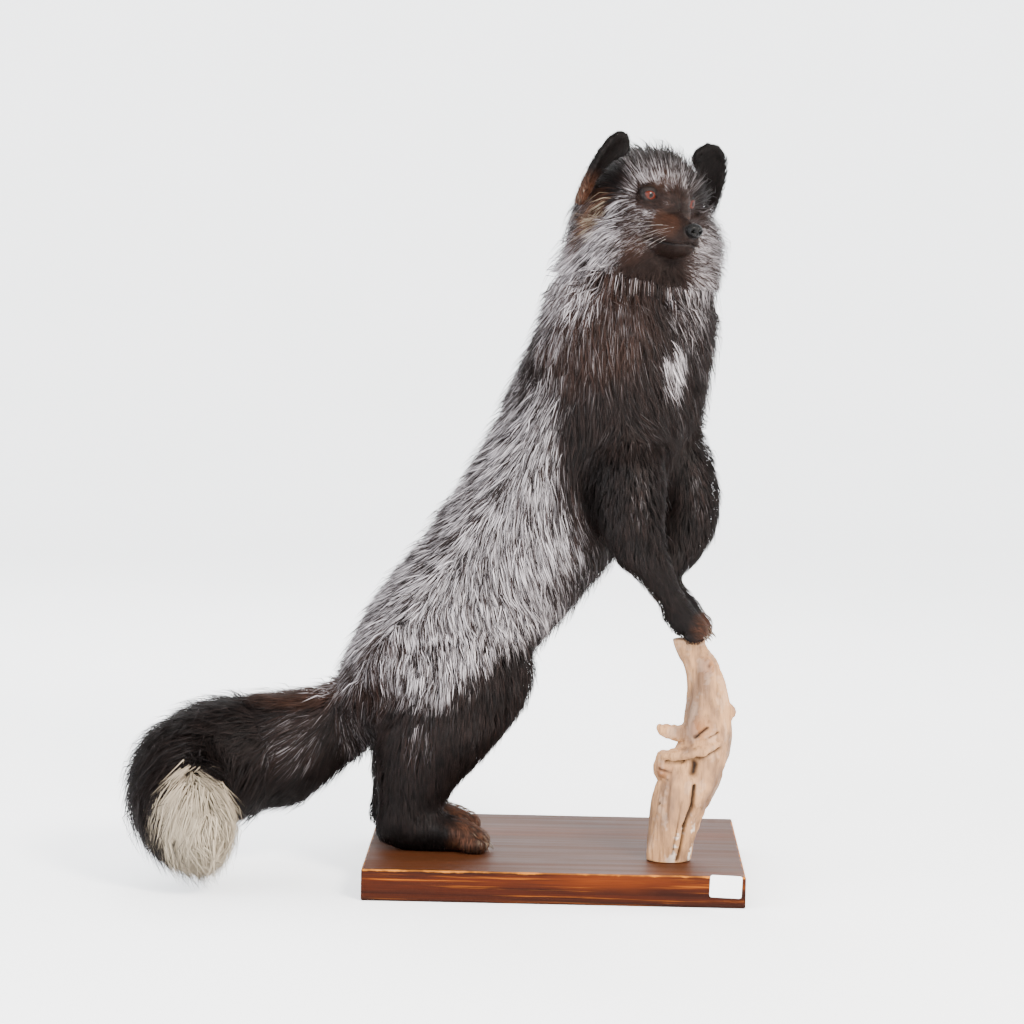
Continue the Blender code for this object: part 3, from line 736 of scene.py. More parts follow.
# The same on the head, in its own frame
HEAD_PATCHES = (
    ("silver", (-0.052, -0.072, 0.012), (0.030, 0.028, 0.048), -1.10),
    ("silver", (-0.038, 0.084, 0.022), (0.030, 0.032, 0.042), -1.00),
    ("silver", (-0.024, -0.050, 0.014), (0.026, 0.030, 0.022), 0.24),
    ("silver", (-0.010, 0.000, 0.032), (0.034, 0.050, 0.022), 0.26),
    ("silver", (-0.034, 0.000, 0.054), (0.044, 0.070, 0.020), -0.08),
    ("silver", (0.019, -0.040, -0.022), (0.014, 0.014, 0.009), 0.30),
    ("silver", (-0.020, -0.074, -0.026), (0.024, 0.026, 0.036), 0.26),
    ("silver", (-0.022, -0.084, -0.078), (0.034, 0.040, 0.040), 0.52),
    ("silver", (0.026, 0.070, -0.055), (0.040, 0.034, 0.045), 0.22),
    ("silver", (-0.006, 0.096, -0.010), (0.040, 0.030, 0.045), 0.10),
    ("silver", (0.008, 0.058, -0.006), (0.022, 0.020, 0.022), -0.30),
    ("silver", (-0.052, -0.090, -0.040), (0.028, 0.030, 0.040), -0.20),
    ("silver", (0.024, -0.056, -0.062), (0.022, 0.024, 0.028), -0.12),
    ("silver", (0.037, -0.034, -0.084), (0.034, 0.030, 0.018), -0.14),
    ("silver", (0.047, -0.006, -0.082), (0.036, 0.044, 0.030), -0.55),
    ("silver", (0.050, 0.000, -0.036), (0.056, 0.034, 0.034), -0.60),
    ("silver", (0.014, 0.000, 0.004), (0.022, 0.018, 0.018), -0.35),
    ("pale", (-0.050, -0.086, -0.052), (0.024, 0.034, 0.034), 0.34),
    ("rust", (-0.056, -0.088, -0.040), (0.026, 0.034, 0.044), 0.30),
    ("rust", (-0.064, -0.093, -0.078), (0.018, 0.034, 0.046), 0.20),
    ("rust", (-0.062, 0.104, -0.020), (0.036, 0.040, 0.044), 0.22),
    ("rust", (0.036, -0.022, -0.030), (0.022, 0.016, 0.018), 0.16),
    ("rust", (0.036, 0.022, -0.030), (0.022, 0.016, 0.018), 0.14),
    ("rust", (0.000, -0.026, 0.026), (0.018, 0.034, 0.018), 0.08),
    ("rust", (0.022, -0.054, -0.066), (0.024, 0.030, 0.026), 0.08),
)
KINDS = ("silver", "pale", "rust")


def add_patches(marks, points, patches, ripple):
    for kind, middle, radii, strength in patches:
        far = span((points - middle) / radii) + 0.28 * ripple
        marks[:, KINDS.index(kind)] += strength * (1 - smooth_step(far, 0.60, 1.20))


def beyond_saddle(points):
    """Distance past the saddle's edge, positive up its back."""
    line = smooth_rows([(x, z, 0) for x, z in SADDLE], 3)[:, :2]
    flat = points[:, [0, 2]]
    steps = np.diff(line, axis=0)
    away = flat[:, None, :] - line[None, :-1]
    share = np.clip((away * steps).sum(axis=2) / (steps**2).sum(axis=1), 0, 1)
    offset = away - share[..., None] * steps[None]
    gap = np.linalg.norm(offset, axis=2)
    pick = gap.argmin(axis=1)
    rows = np.arange(len(points))
    side = steps[pick, 0] * offset[rows, pick, 1] - steps[pick, 1] * offset[rows, pick, 0]
    return gap[rows, pick] * np.where(side > 0, 1, -1)


STREAK_STEP, STREAK_BREADTH = 0.008, 0.0085


def streaks(points, flow):
    """Noise drawn out along the coat's lie, from about -1 to 1."""
    total = np.zeros(len(points))
    for step in range(-3, 4):
        total += noise_at(points + flow * step * STREAK_STEP, STREAK_BREADTH, 6.1)
    return np.clip(total / 2.2, -1.3, 1.3)


# How silver each region is before its patches, where 0 is a few silver hairs and 1 nearly all
BODY_SILVER, SADDLE_MORE, OTHER_SILVER = -0.30, 0.75, -0.52
HEAD_SILVER, CHEEK_MORE = 0.10, 0.46
EAR_MARKS = (-1.0, 0, 0)
EAR_FOOT_MARKS = (0.75, 0.10, 0.34)  # added at the foot of the right ear
EYE_DARKER = 0.75  # how much silver the ring round each eye loses
SADDLE_TOP = (0.600, 0.690)  # the heights over which the saddle fades into the neck
FACE_EDGE = (0.034, 0.078)  # how far from the nose the dark muzzle turns into the silver cheeks


def markings(points, labels, streak):
    """Silver, white and rust at each point, each from 0 to 1."""
    names = np.array(FLESH)[labels]
    ripple = noise_at(points, 0.030) + 0.5 * noise_at(points, 0.011, 3.7)
    marks = np.zeros((len(points), 3))
    kinds = np.array([kind_of(name) for name in FLESH])[labels]
    torso = np.isin(names, ("neck", "chest", "trunk", "rump")) | np.char.startswith(names, "hind_thigh")
    over = beyond_saddle(points) + 0.010 * ripple
    fade = 1 - smooth_step(points[:, 2], *SADDLE_TOP)
    soft = 1 + 1.6 * smooth_step(points[:, 0], -0.02, 0.03)
    saddle = smooth_step(over / soft, -0.013, 0.026) * fade
    marks[:, 0] = np.where(torso, BODY_SILVER + SADDLE_MORE * saddle, OTHER_SILVER)
    marks[:, 0] += np.where(names == "neck", 0.06, 0) - np.where(kinds == "hind_thigh", 0.06, 0)
    marks[:, 0] -= np.where(np.isin(kinds, FEET), 0.3, 0) - 0.22 * torso * ripple * saddle
    add_patches(marks, points, BODY_PATCHES, ripple)
    head = (names == "head") | np.char.startswith(names, "ear")
    local = in_head(points)
    crown = np.zeros((len(points), 3))
    add_patches(crown, local, HEAD_PATCHES, ripple)
    marks += np.where((head | (names == "neck"))[:, None], crown, 0)
    away = head_distance(local)
    cheek = smooth_step(away, *FACE_EDGE)
    marks[:, 0] += np.where(names == "head", HEAD_SILVER + CHEEK_MORE * cheek, 0)
    marks[:, 2] += np.where(names == "head", 0.05 * (1 - smooth_step(away, 0.080, 0.120)), 0)
    marks[np.char.startswith(names, "ear")] = EAR_MARKS
    foot = np.where(names == "ear_right", 1 - smooth_step(local[:, 2] + 0.006 * ripple, -0.012, 0.022), 0)
    marks += foot[:, None] * EAR_FOOT_MARKS
    for side in SIDES:
        off_eye = span((local - eye_axes(side)[0]) * (1, 1, 1.25))
        ring = 1 - smooth_step(off_eye + 0.004 * ripple, 0.013, 0.027)
        marks[:, 0] -= np.where(head, EYE_DARKER * ring, 0)
    marks[:, 0] += (0.04 + 0.16 * np.clip(marks[:, 0], 0, 1)) * streak
    marks[:, 0] += np.where(names == "neck", 0.05, 0) * streak
    return np.clip(marks, (-1, 0, 0), 1)


# How the coat lies, and its tufts

FRONT_LEGS = ("foreleg_right", "foreleg_left")
BACK_LEGS = ("hind_leg_right", "hind_leg_left")
# Pieces of the coat: nodes, number of tufts, and the strips of its unwrap
COAT_PIECES = {
    "coat_neck": (("neck",), 24000, ("torso",)),
    "coat_chest": (("chest",), 24000, ("torso",)),
    "coat_flank_right": (("trunk",), 20000, ("torso",)),
    "coat_flank_left": (("trunk",), 16000, ("torso",)),
    "coat_rump": (("rump", "tail_root"), 25000, ("torso", "tail")),
    "coat_haunches": (both("hind_thigh", "upper_arm"), 23000, BACK_LEGS + FRONT_LEGS),
    "coat_shanks": (both("hind_shank", "forearm"), 14000, BACK_LEGS + FRONT_LEGS),
    "coat_tail": (("tail_middle", "tail_end", "tail_tip"), 29000, ("tail",)),
    "coat_head": (("head",), 29000, ("head",)),
    "coat_face": (("head",), 24000, ("head",)),
    "coat_ears": (EAR_NODES, 11000, EAR_NODES),
    "coat_paws": (both(*FEET), 10000, BACK_LEGS + FRONT_LEGS),
}
SHORT_COATS = ("coat_face", "coat_ears", "coat_paws")
PLUME = np.array((-0.446, -0.220, 0.150))  # where the tail's white hair spreads from
STEPS = 2


def head_distance(local):
    """How far points are from the nose, measured along the head rather than across it."""
    away = local - (NOSE_FORWARD, 0, -NOSE_DOWN)
    return span(away * (1.0, 0.95, 0.95))


def lie_of(points, normals, labels):
    """Which way the coat runs at each point of the hide."""
    names = np.array(FLESH)[labels]
    kinds = np.array([kind_of(name) for name in names])
    flow = np.zeros_like(points)
    down = np.array((0.0, 0.0, -1.0))
    for chain in CHAINS:
        own = np.isin(names, CHAINS[chain][1:])
        if own.any():
            flow[own] = follow(points[own], chain)[1]
    torso = np.isin(kinds, TRUNK_NODES)
    run = unit(flow[torso])
    back = unit(np.cross((0, 1, 0), run))
    onto_back = (normals[torso] * back).sum(axis=1)[:, None]
    hang = 1 - smooth_step(onto_back, 0.10, 0.80)
    under = smooth_step(-onto_back, -0.25, 0.5)
    flow[torso] = run * (1 - hang) + hang * ((0, 0, -1) + under * np.array((0.22, 0, 0)))
    legs = np.isin(kinds, ("hind_thigh", "hind_shank", "upper_arm"))
    flow[legs] = flow[legs] * 0.35 + down
    tail = np.char.startswith(names, "tail")
    flow[tail] += down * (0.15 + 0.75 * smooth_step(-normals[tail, 2:], -0.3, 0.6))
    plume = smooth_step(span((points - PLUME) / (0.075, 0.10, 0.090)), 0.8, 1.15)[:, None]
    plume = np.where(tail[:, None], plume, 1)
    fan = (points - PLUME) * (9.0, 0, 4.0) + (0, -0.2, -1)
    flow = flow * plume + fan * (1 - plume)
    local = in_head(points)
    radial = unit(local - (NOSE_FORWARD - 0.030, 0, -NOSE_DOWN - 0.004))
    low = smooth_step(-local[:, 2], -0.015, 0.050)
    bend = low * (0.25 + 1.35 * smooth_step(0.02 - local[:, 0], 0.0, 0.05))
    sweep = radial * (1, 0.75, 1) + np.outer(bend, (0.15, 0, -1.5))
    muzzle = smooth_step(local[:, 0], 0.0, 0.030)[:, None]
    sweep = sweep * (1 - muzzle) + muzzle * (np.array((-1.0, 0, -0.15)) + np.sign(local) * (0, 0.25, 0))
    nape = smooth_step(-local[:, 0], 0.045, 0.095)[:, None]
    sweep = sweep * (1 - 0.5 * nape) + nape * (0, 0, -1.1)
    head = kinds == "head"
    flow[head] = (sweep @ HEAD_TURN.T)[head]
    for ear in EAR_NODES:
        line = line_of(ear)
        flow[names == ear] = line[1] - line[0]
    return unit(flow), kinds


def flatten(vectors, normals):
    return unit(vectors - (vectors * normals).sum(axis=1, keepdims=True) * normals)


def hide_fields(hide, envelope):
    """What the coat needs at each point of the hide, kept for the operators that grow it."""
    points, normals, triangles = read(hide.data)
    edges = edges_of(hide.data)
    labels = label(points)
    flow, kinds = lie_of(points, normals, labels)
    flow = flatten(spread(flow, edges, 30), normals)
    local = in_head(points)
    sizes = {kind: np.array(values[1:]) * MM for kind, values in COAT.items()}
    lengths = np.array([sizes.get(kind_of(node), sizes["neck"]) for node in FLESH])[labels]
    reach, long, broad = np.array(HEAD_COAT).T * MM
    away = head_distance(local)
    head = kinds == "head"
    lengths[head, 0] = np.interp(away[head], reach, long)
    lengths[head, 1] = np.interp(away[head], reach, broad)
    ears = np.char.startswith(kinds.astype(str), "ear")
    lengths[ears] = sizes["ear"]
    lengths = spread(lengths, edges, 10)
    lengths[ears] = sizes["ear"]
    depth = nearest(tree_of(envelope), points)[2]
    depth = spread(depth, edges, 8)
    depth[ears] = EAR_DEPTH
    face_depth = np.interp(away, *(np.array(FACE_DEPTHS).T * MM))
    bridge = smooth_step(local[:, 2], -0.032, -0.014) * smooth_step(0.034 - np.abs(local[:, 1]), 0, 0.010)
    face_depth *= 1 - 0.5 * bridge * smooth_step(local[:, 0], -0.005, 0.010)
    depth = np.where(head, np.minimum(depth, face_depth), depth)
    bare = np.ones(len(points))
    for side in SIDES:
        bare *= smooth_step(eye_reach(local, side), 1.12, 1.9)
        eye = eye_axes(side)[0]
        off_eye = span(local - eye)
        held = 0.0012 + 0.30 * np.maximum(off_eye - 0.012, 0)
        free = smooth_step(off_eye, 0.018, 0.034)
        depth = np.minimum(depth, held) * (1 - free) + depth * free
    gap, above = off_lips(local)
    reach_below = np.where(above < 0, 0.0050, 0.0036)
    bare *= smooth_step(gap, 0.4 * reach_below, reach_below)
    nose = span(local - (NOSE_FORWARD, 0, -NOSE_DOWN))
    bare *= smooth_step(nose, 0.0105, 0.0150)
    centre = points[triangles].mean(axis=1)
    corners = points[triangles]
    areas = span(np.cross(corners[:, 1] - corners[:, 0], corners[:, 2] - corners[:, 0])) / 2
    streak = streaks(points, flow)
    marks = spread(markings(points, labels, streak), edges, 2)
    WORK.update(
        points=points, normals=normals, triangles=triangles, labels=labels, flow=flow, lengths=lengths,
        depth=depth, bare=bare, centres=centre, areas=areas, away=away, streak=streak,
        tree=BVHTree.FromPolygons([Vector(p) for p in points], triangles.tolist()),
    )
    put_attribute(hide.data, "marks", marks)
    put_attribute(hide.data, "lids", np.column_stack([bare] * 3))


def thin_out(hide):
    """Takes faces off the hide where the long coat covers it: none off the head, the ears and the paws."""
    kinds = np.array([kind_of(node) for node in FLESH])[WORK["labels"]]
    covered = np.nonzero(~np.isin(kinds, ("head", "ear", *FEET)))[0]
    group = hide.vertex_groups.new(name="covered")
    group.add(covered.tolist(), 1.0, "REPLACE")
    step = hide.modifiers.new("fewer_faces", "DECIMATE")
    step.vertex_group = group.name
    step.ratio = HIDE_TRIANGLES / len(WORK["triangles"])
    evaluated(hide)
    hide.vertex_groups.clear()


def put_attribute(mesh, name, values):
    kept = mesh.attributes.new(name, "FLOAT_VECTOR", "POINT")
    kept.data.foreach_set("vector", np.asarray(values, np.float32).ravel())


def at_faces(name, faces):
    return WORK[name][WORK["triangles"][faces]].mean(axis=1)


def march(places, faces, turn, lengths):
    """Paths over the hide along its lie, one step at a time: places, normals and depths."""
    path, square, deep = [places], [unit(at_faces("normals", faces))], [at_faces("depth", faces)]
    for _ in range(STEPS):
        normal = square[-1]
        flow = flatten(at_faces("flow", faces), normal)
        across = np.cross(normal, flow)
        heading = flow * np.cos(turn)[:, None] + across * np.sin(turn)[:, None]
        moved, faces, _ = nearest(WORK["tree"], path[-1] + heading * (lengths / STEPS)[:, None])
        path.append(moved)
        square.append(unit(at_faces("normals", faces)))
        deep.append(at_faces("depth", faces))
    return np.array(path), np.array(square), np.array(deep)


def tuft_lines(places, faces, lift, turn, lengths):
    """Each tuft's middle line: points rising from the hide to the coat's outline."""
    path, square, deep = march(places, faces, turn, lengths)
    reach = np.array((-0.02, 0.70, 1.0))[:, None] * deep
    heights = np.minimum(reach * lift, deep + 0.010)
    heights[0] = -0.0006
    heights[1:] = np.maximum(heights[1:], np.array((0.0008, 0.0007))[:, None])
    return path + square * heights[..., None], square


def pick_roots(nodes, count, rng, keep):
    """Random places on the hide of these nodes: positions and faces."""
    wanted = np.array([FLESH.index(node) for node in nodes])
    owner = WORK["labels"][WORK["triangles"][:, 0]]
    middle_bare = WORK["bare"][WORK["triangles"]].mean(axis=1)
    weight = WORK["areas"] * np.isin(owner, wanted) * keep * (middle_bare > 0.5)
    chosen = rng.choice(len(weight), count, p=weight / weight.sum())
    a, b = rng.random((2, count))
    over = a + b > 1
    a, b = np.where(over, 1 - a, a), np.where(over, 1 - b, b)
    corners = WORK["points"][WORK["triangles"][chosen]]
    first, second = corners[:, 1] - corners[:, 0], corners[:, 2] - corners[:, 0]
    return corners[:, 0] + a[:, None] * first + b[:, None] * second, chosen


def unwrap(places, strips):
    """Each place on an unwrap of the hide: round its limb by along it, one strip beside the next."""
    best = np.full(len(places), 9.0)
    found = np.zeros((len(places), 2))
    for index, chain in enumerate(strips):
        run, tangent, offset = follow(places, chain)
        guide = np.array((0.0, 0.0, 1.0) if chain == "tail" else (0.0, 1.0, 0.0))
        north = flatten(np.broadcast_to(guide, tangent.shape), tangent)
        east = np.cross(tangent, north)
        turn = np.arctan2((offset * east).sum(axis=1), (offset * north).sum(axis=1)) / (2 * math.pi) + 0.5
        far = span(offset)
        near = far < best
        across = (index + 0.01 + 0.98 * turn) / len(strips)
        found[near] = np.column_stack([across, run])[near]
        best = np.minimum(best, far)
    low, high = found[:, 1].min(), found[:, 1].max()
    found[:, 1] = 0.01 + 0.98 * (found[:, 1] - low) / (high - low)
    return found


SEED_SHARE = 0.12  # how many locks there are, for one tuft
STRAY_SHARE, EAR_STRAY_SHARE = 0.10, 0.30  # how many tufts stand out of the coat's lie
HANG, TAIL_HANG = 0.003, 0.013  # how far long tufts hang down under the body and the tail
ROUNDNESS = 0.55  # how round a tuft is shaded, where 0 is shaded as the coat's own surface
SIDE_TONE = 0.8  # how much a tuft's tone changes from one side of it to the other


def build_tufts(name, lines, square, breadths, hair, marks, unwrapped):
    """One mesh of every tuft: closed spikes of three sides, broadest a third or half of the way along."""
    count = len(breadths)
    points = [lines[0]]
    shading = [square[0]]
    along = [np.zeros(count)]
    sides = [np.full(count, 0.5)]
    for ring in range(1, STEPS):
        run = unit(lines[ring + 1] - lines[ring - 1])
        across = unit(np.cross(run, square[ring]))
        up = np.cross(across, run)
        half = breadths[:, None] / 2
        points += [lines[ring] + across * half, lines[ring] - across * half, lines[ring] + up * half * 0.7]
        shading += [square[ring] + across * ROUNDNESS, square[ring] - across * ROUNDNESS, square[ring]]
        along += [np.full(count, ring / STEPS)] * 3
        sides += [np.zeros(count), np.ones(count), np.full(count, 0.5)]
    points.append(lines[STEPS])
    shading.append(square[STEPS])
    along.append(np.ones(count))
    sides.append(np.full(count, 0.5))
    stack = len(points)
    points = np.stack(points, axis=1).reshape(-1, 3)
    faces = []
    for k in range(3):
        a, b = 1 + k, 1 + (k + 1) % 3
        faces += [(0, b, a), (a, b, stack - 1)]
    faces = (np.array(faces)[None] + (np.arange(count) * stack)[:, None, None]).reshape(-1, 3)
    corners = points[faces[: len(faces) // count * 40]]
    volume = (corners[:, 0] * np.cross(corners[:, 1], corners[:, 2])).sum()
    if volume < 0:
        faces = faces[:, ::-1]
    mesh = bpy.data.meshes.new(name)
    mesh.vertices.add(len(points))
    mesh.vertices.foreach_set("co", points.astype(np.float32).ravel())
    mesh.loops.add(faces.size)
    mesh.loops.foreach_set("vertex_index", faces.astype(np.int32).ravel())
    mesh.polygons.add(len(faces))
    mesh.polygons.foreach_set("loop_start", np.arange(0, faces.size, 3, dtype=np.int32))
    mesh.update(calc_edges=True)
    mesh.shade_smooth()
    shading = unit(np.stack(shading, axis=1).reshape(-1, 3))
    mesh.normals_split_custom_set_from_vertices(shading.astype(np.float32))
    along = np.stack(along, axis=1)
    sides = np.stack(sides, axis=1)
    each = np.repeat(hair, stack, axis=0)
    each[:, 0] = np.clip(each[:, 0] + SIDE_TONE * (sides.ravel() - 0.5), 0, 1)
    put_attribute(mesh, "hair", np.column_stack([along.ravel(), each]))
    put_attribute(mesh, "marks", np.repeat(marks, stack, axis=0))
    patch = np.stack([sides - 0.5, along - 0.5], axis=2) * PATCH + unwrapped[:, None, :]
    layer = mesh.uv_layers.new(name="OFBake")
    layer.data.foreach_set("uv", patch.reshape(-1, 2)[faces.ravel()].astype(np.float32).ravel())
    return new_object(name, mesh)


def grow(name, settings):
    """One piece of the coat."""
    nodes, count, strips = COAT_PIECES[name]
    short = name in SHORT_COATS
    order = list(COAT_PIECES).index(name)
    rng = np.random.default_rng(settings.seed + order)
    count = int(count * settings.density)
    away = WORK["away"][WORK["triangles"]].mean(axis=1)
    keep = np.ones(len(away))
    if name == "coat_head":
        keep = smooth_step(away, 0.050, 0.080) * (1 + 1.2 * (1 - smooth_step(away, 0.080, 0.130)))
    if name == "coat_face":
        keep = (1 - smooth_step(away, 0.066, 0.100)) * (1 + 1.5 * (1 - smooth_step(away, 0.020, 0.060)))
    if name.startswith("coat_flank"):
        offset = follow(WORK["centres"], "torso")[2]
        keep = (offset[:, 1] * SIDES[name.removeprefix("coat_flank_")] > 0).astype(float)
    places, faces = pick_roots(nodes, count, rng, keep)
    size = at_faces("lengths", faces)
    lock = settings.lock_size * (0.45 if short else 1)
    seeds, seed_faces = pick_roots(nodes, max(int(count * SEED_SHARE), 20), rng, keep)
    seed_size = at_faces("lengths", seed_faces)
    wander = noise_at(seeds, 0.035, 1.3 + order)
    seed_turn = 0.15 * wander + rng.normal(0, 0.05, len(seeds))
    seed_lift = 0.93 + 0.13 * rng.standard_normal(len(seeds)).clip(-1.6, 1.6)
    seed_lines, _ = tuft_lines(seeds, seed_faces, seed_lift, seed_turn, seed_size[:, 0])
    tree = KDTree(len(seeds))
    for index, place in enumerate(seeds.tolist()):
        tree.insert(place, index)
    tree.balance()
    found = [tree.find(place) for place in places.tolist()]
    owner = np.array([item[1] for item in found])
    gap = np.array([item[2] for item in found])
    length = size[:, 0] * rng.uniform(0.72, 1.16, count)
    lift = seed_lift[owner] * rng.uniform(0.74, 1.08, count)
    stray = rng.random(count) < (EAR_STRAY_SHARE if name == "coat_ears" else STRAY_SHARE)
    lift = np.where(stray, lift * rng.uniform(1.05, 1.60, count), lift)
    turn = seed_turn[owner] + rng.normal(0, 0.055, count) * np.where(stray, 3.0, 1)
    lines, square = tuft_lines(places, faces, lift, turn, length)
    hang = (TAIL_HANG if name == "coat_tail" else HANG) * smooth_step(-square[STEPS][:, 2], -0.3, 0.6)
    lines[STEPS][:, 2] -= hang * rng.uniform(0.3, 1.6, count) * (not short)
    pull = settings.gather * (1 - smooth_step(gap, lock * 1.2, lock * 2.6)) * np.where(stray, 0.2, 1)
    for step in range(1, STEPS + 1):
        share = pull * (step / STEPS) ** 1.5
        lines[step] += (seed_lines[step][owner] - lines[step]) * share[:, None]
    seen = lines[STEPS] * 0.6 + lines[STEPS - 1] * 0.4
    marks = markings(seen, WORK["labels"][WORK["triangles"][faces, 0]], at_faces("streak", faces))
    lock_tone = rng.random(len(seeds))
    tone = np.clip(0.5 + 0.95 * (rng.random(count) - 0.5) + 0.45 * (lock_tone[owner] - 0.5), 0, 1)
    shade = np.clip(0.55 * rng.random(count) + 0.45 * rng.random(len(seeds))[owner], 0, 1)
    breadths = size[:, 1] * rng.uniform(0.75, 1.25, count)
    hair = np.column_stack([tone, shade])
    return build_tufts(name, lines, square, breadths, hair, marks, unwrap(places, strips))


def own(piece, nodes, slot, material):
    """Hands a finished piece over: its finish, its body and the solids it stands for; its slot is not used.
    """
    piece.data.materials.clear()
    piece.data.materials.append(material)
    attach(piece, BODY)
    if nodes:
        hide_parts(*nodes)
    return piece


# Materials

# Each short name's node: its kind, its settings, the inputs fed in order, and which output it gives (or all)
NODES = {
    "mix": ("ShaderNodeMix", {"data_type": "RGBA"}, (0, 6, 7), 2),
    "tint": ("ShaderNodeMix", {"data_type": "RGBA", "blend_type": "MULTIPLY"}, (0, 6, 7), 2),
    "range": ("ShaderNodeMapRange", {"interpolation_type": "SMOOTHSTEP"}, (0, 1, 2, 3, 4), 0),
    "noise": ("ShaderNodeTexNoise", {}, ("Vector", "Scale", "Detail", "Roughness", "Distortion"), "Fac"),
    "cells": ("ShaderNodeTexVoronoi", {}, ("Vector", "Scale"), "Distance"),
    "stretch": ("ShaderNodeMapping", {}, ("Vector", "Scale"), 0),
    "bump": ("ShaderNodeBump", {}, ("Height", "Distance", "Strength"), 0),
    "attribute": ("ShaderNodeAttribute", {}, (), "Vector"),
    "object place": ("ShaderNodeTexCoord", {}, (), "Object"),
    "split": ("ShaderNodeSeparateXYZ", {}, (0,), None),
    "vector": ("ShaderNodeCombineXYZ", {}, (0, 1, 2), 0),
    "grey": ("ShaderNodeCombineColor", {}, (0, 1, 2), 0),
    "length": ("ShaderNodeVectorMath", {"operation": "LENGTH"}, (0,), "Value"),
    "direction": ("ShaderNodeVectorMath", {"operation": "NORMALIZE"}, (0,), 0),
    "group": ("ShaderNodeGroup", {}, (0, 1, 2, 3), 0),
    "given": ("NodeGroupInput", {}, (), None),
    "result": ("NodeGroupOutput", {}, (0,), None),
    "bezier": ("GeometryNodeCurveQuadraticBezier", {}, ("Resolution", "Start", "Middle", "End"), 0),
    "share": ("GeometryNodeSplineParameter", {}, (), "Factor"),
    "ring": ("GeometryNodeCurvePrimitiveCircle", {}, ("Resolution", "Radius"), 0),
    "tube": ("GeometryNodeCurveToMesh", {}, ("Curve", "Profile Curve", "Fill Caps", "Scale"), 0),
    "named": ("GeometryNodeInputNamedAttribute", {"data_type": "FLOAT_VECTOR"}, ("Name",), 0),
    "aim": ("FunctionNodeAlignRotationToVector", {"axis": "Z"}, ("Vector",), 0),
    "roll": (
        "FunctionNodeAlignRotationToVector", {"axis": "Y", "pivot_axis": "Z"}, ("Rotation", "Vector"), 0,
    ),
    "place": ("GeometryNodeInstanceOnPoints", {}, ("Points", "Instance", "Rotation", "Scale"), 0),
    "realize": ("GeometryNodeRealizeInstances", {}, (0,), 0),
    "smooth": ("GeometryNodeSetShadeSmooth", {}, ("Geometry", "Shade Smooth"), 0),
    "finish": ("GeometryNodeSetMaterial", {}, ("Geometry", "Material"), 0),
    **{
        name: ("ShaderNodeMath", {"operation": name.upper()}, (0, 1), 0)
        for name in ("add", "subtract", "multiply", "minimum", "maximum", "absolute", "power")
    },
}


def add(tree, name, *feeds, **settings):
    """A node by its short name, with its settings, and a value or a link for each of its inputs in turn."""
    kind, usual, inputs, output = NODES[name]
    made = tree.nodes.new(kind)
    for setting, value in {**usual, **settings}.items():
        setattr(made, setting, value)
    for target, source in zip(inputs, feeds):
        if isinstance(source, bpy.types.NodeSocket):
            tree.links.new(source, made.inputs[target])
        else:
            made.inputs[target].default_value = source
    return made.outputs if output is None else made.outputs[output]


def material(name, **sockets):
    """A new material: itself, what adds a node to it, its Object coordinates and its shader."""
    made = bpy.data.materials.new(name)
    made.use_nodes = True
    tree = made.node_tree
    shader = tree.nodes["Principled BSDF"]
    for socket, value in sockets.items():
        shader.inputs[socket.replace("_", " ")].default_value = value
    node = partial(add, tree)
    return made, node, node("object place"), shader


def join(source, shader, socket):
    shader.id_data.links.new(source, shader.inputs[socket])


def hair_colour(colours):
    """The colour of one hair, from its markings, how far along it is, its own draw and its shade."""
    group = bpy.data.node_groups.get("hair colour")
    if group:
        return group
    group = bpy.data.node_groups.new("hair colour", "ShaderNodeTree")
    for name, kind in (("Marks", "Vector"), ("Along", "Float"), ("Tone", "Float"), ("Shade", "Float")):
        group.interface.new_socket(name, in_out="INPUT", socket_type=f"NodeSocket{kind}")
    group.interface.new_socket("Color", in_out="OUTPUT", socket_type="NodeSocketColor")
    node = partial(add, group)
    given = node("given")
    marks = node("split", given["Marks"])
    along, tone, shade = given["Along"], given["Tone"], given["Shade"]
    dark = node("mix", node("range", shade, 0.1, 1.0, 0.0, 0.65), tuple(colours.dark), tuple(colours.brown))
    jet = node("mix", shade, colour("030202"), colour("130e0d"))
    dark = node("mix", node("range", marks[0], -0.9, 0.0), jet, dark)
    banded = node("multiply", node("range", along, 0.10, 0.42), node("range", along, 0.80, 1.02, 1.0, 0.40))
    silvered = node("range", node("subtract", marks[0], node("multiply", tone, 1.10)), -0.45, 0.47)
    silvered = node("multiply", silvered, banded)
    silver = node("mix", shade, dimmed(colours.silver, 0.42), tuple(colours.silver))
    fur = node("mix", silvered, dark, silver)
    rusty = node("multiply", marks[2], node("subtract", 1.0, node("multiply", silvered, 0.55)))
    rust = node("mix", shade, dimmed(colours.rust, 0.45), tuple(colours.rust))
    fur = node("mix", rusty, fur, rust)
    white = node("range", node("subtract", node("multiply", marks[1], 1.5), tone), 0.02, 0.35)
    white = node("multiply", white, node("range", along, 0.0, 0.30, 0.45, 1.0))
    cream = node("mix", shade, dimmed(colours.cream, 0.66), tuple(colours.cream))
    node("result", node("mix", white, fur, cream))
    return group


def guard_hair(colours):
    """Fox guard hair: keratin, dyed by its own pigment in bands, with painted shade darkening each tuft
    toward its root. A soft streaky shine, no hard highlight.
    """
    made = bpy.data.materials.get("fox guard hair")
    if made:
        return made
    made, node, _, shader = material("fox guard hair", Roughness=0.6, Specular_IOR_Level=0.10)
    marks = node("attribute", attribute_name="marks")
    hair = node("attribute", attribute_name="hair")
    along, tone, shade = node("split", hair)
    fur = node("group", marks, along, tone, shade, node_tree=hair_colour(colours))
    # Painted shade: each tuft darkens toward its root, to 0.45 of its colour at the root, where the coat
    # shades itself.
    deep = node("range", along, 0.0, 0.55, 0.45, 1.0)
    join(node("tint", 1.0, fur, node("grey", deep, deep, deep)), shader, "Base Color")
    join(node("range", tone, 0.0, 1.0, 0.48, 0.66), shader, "Roughness")
    return made


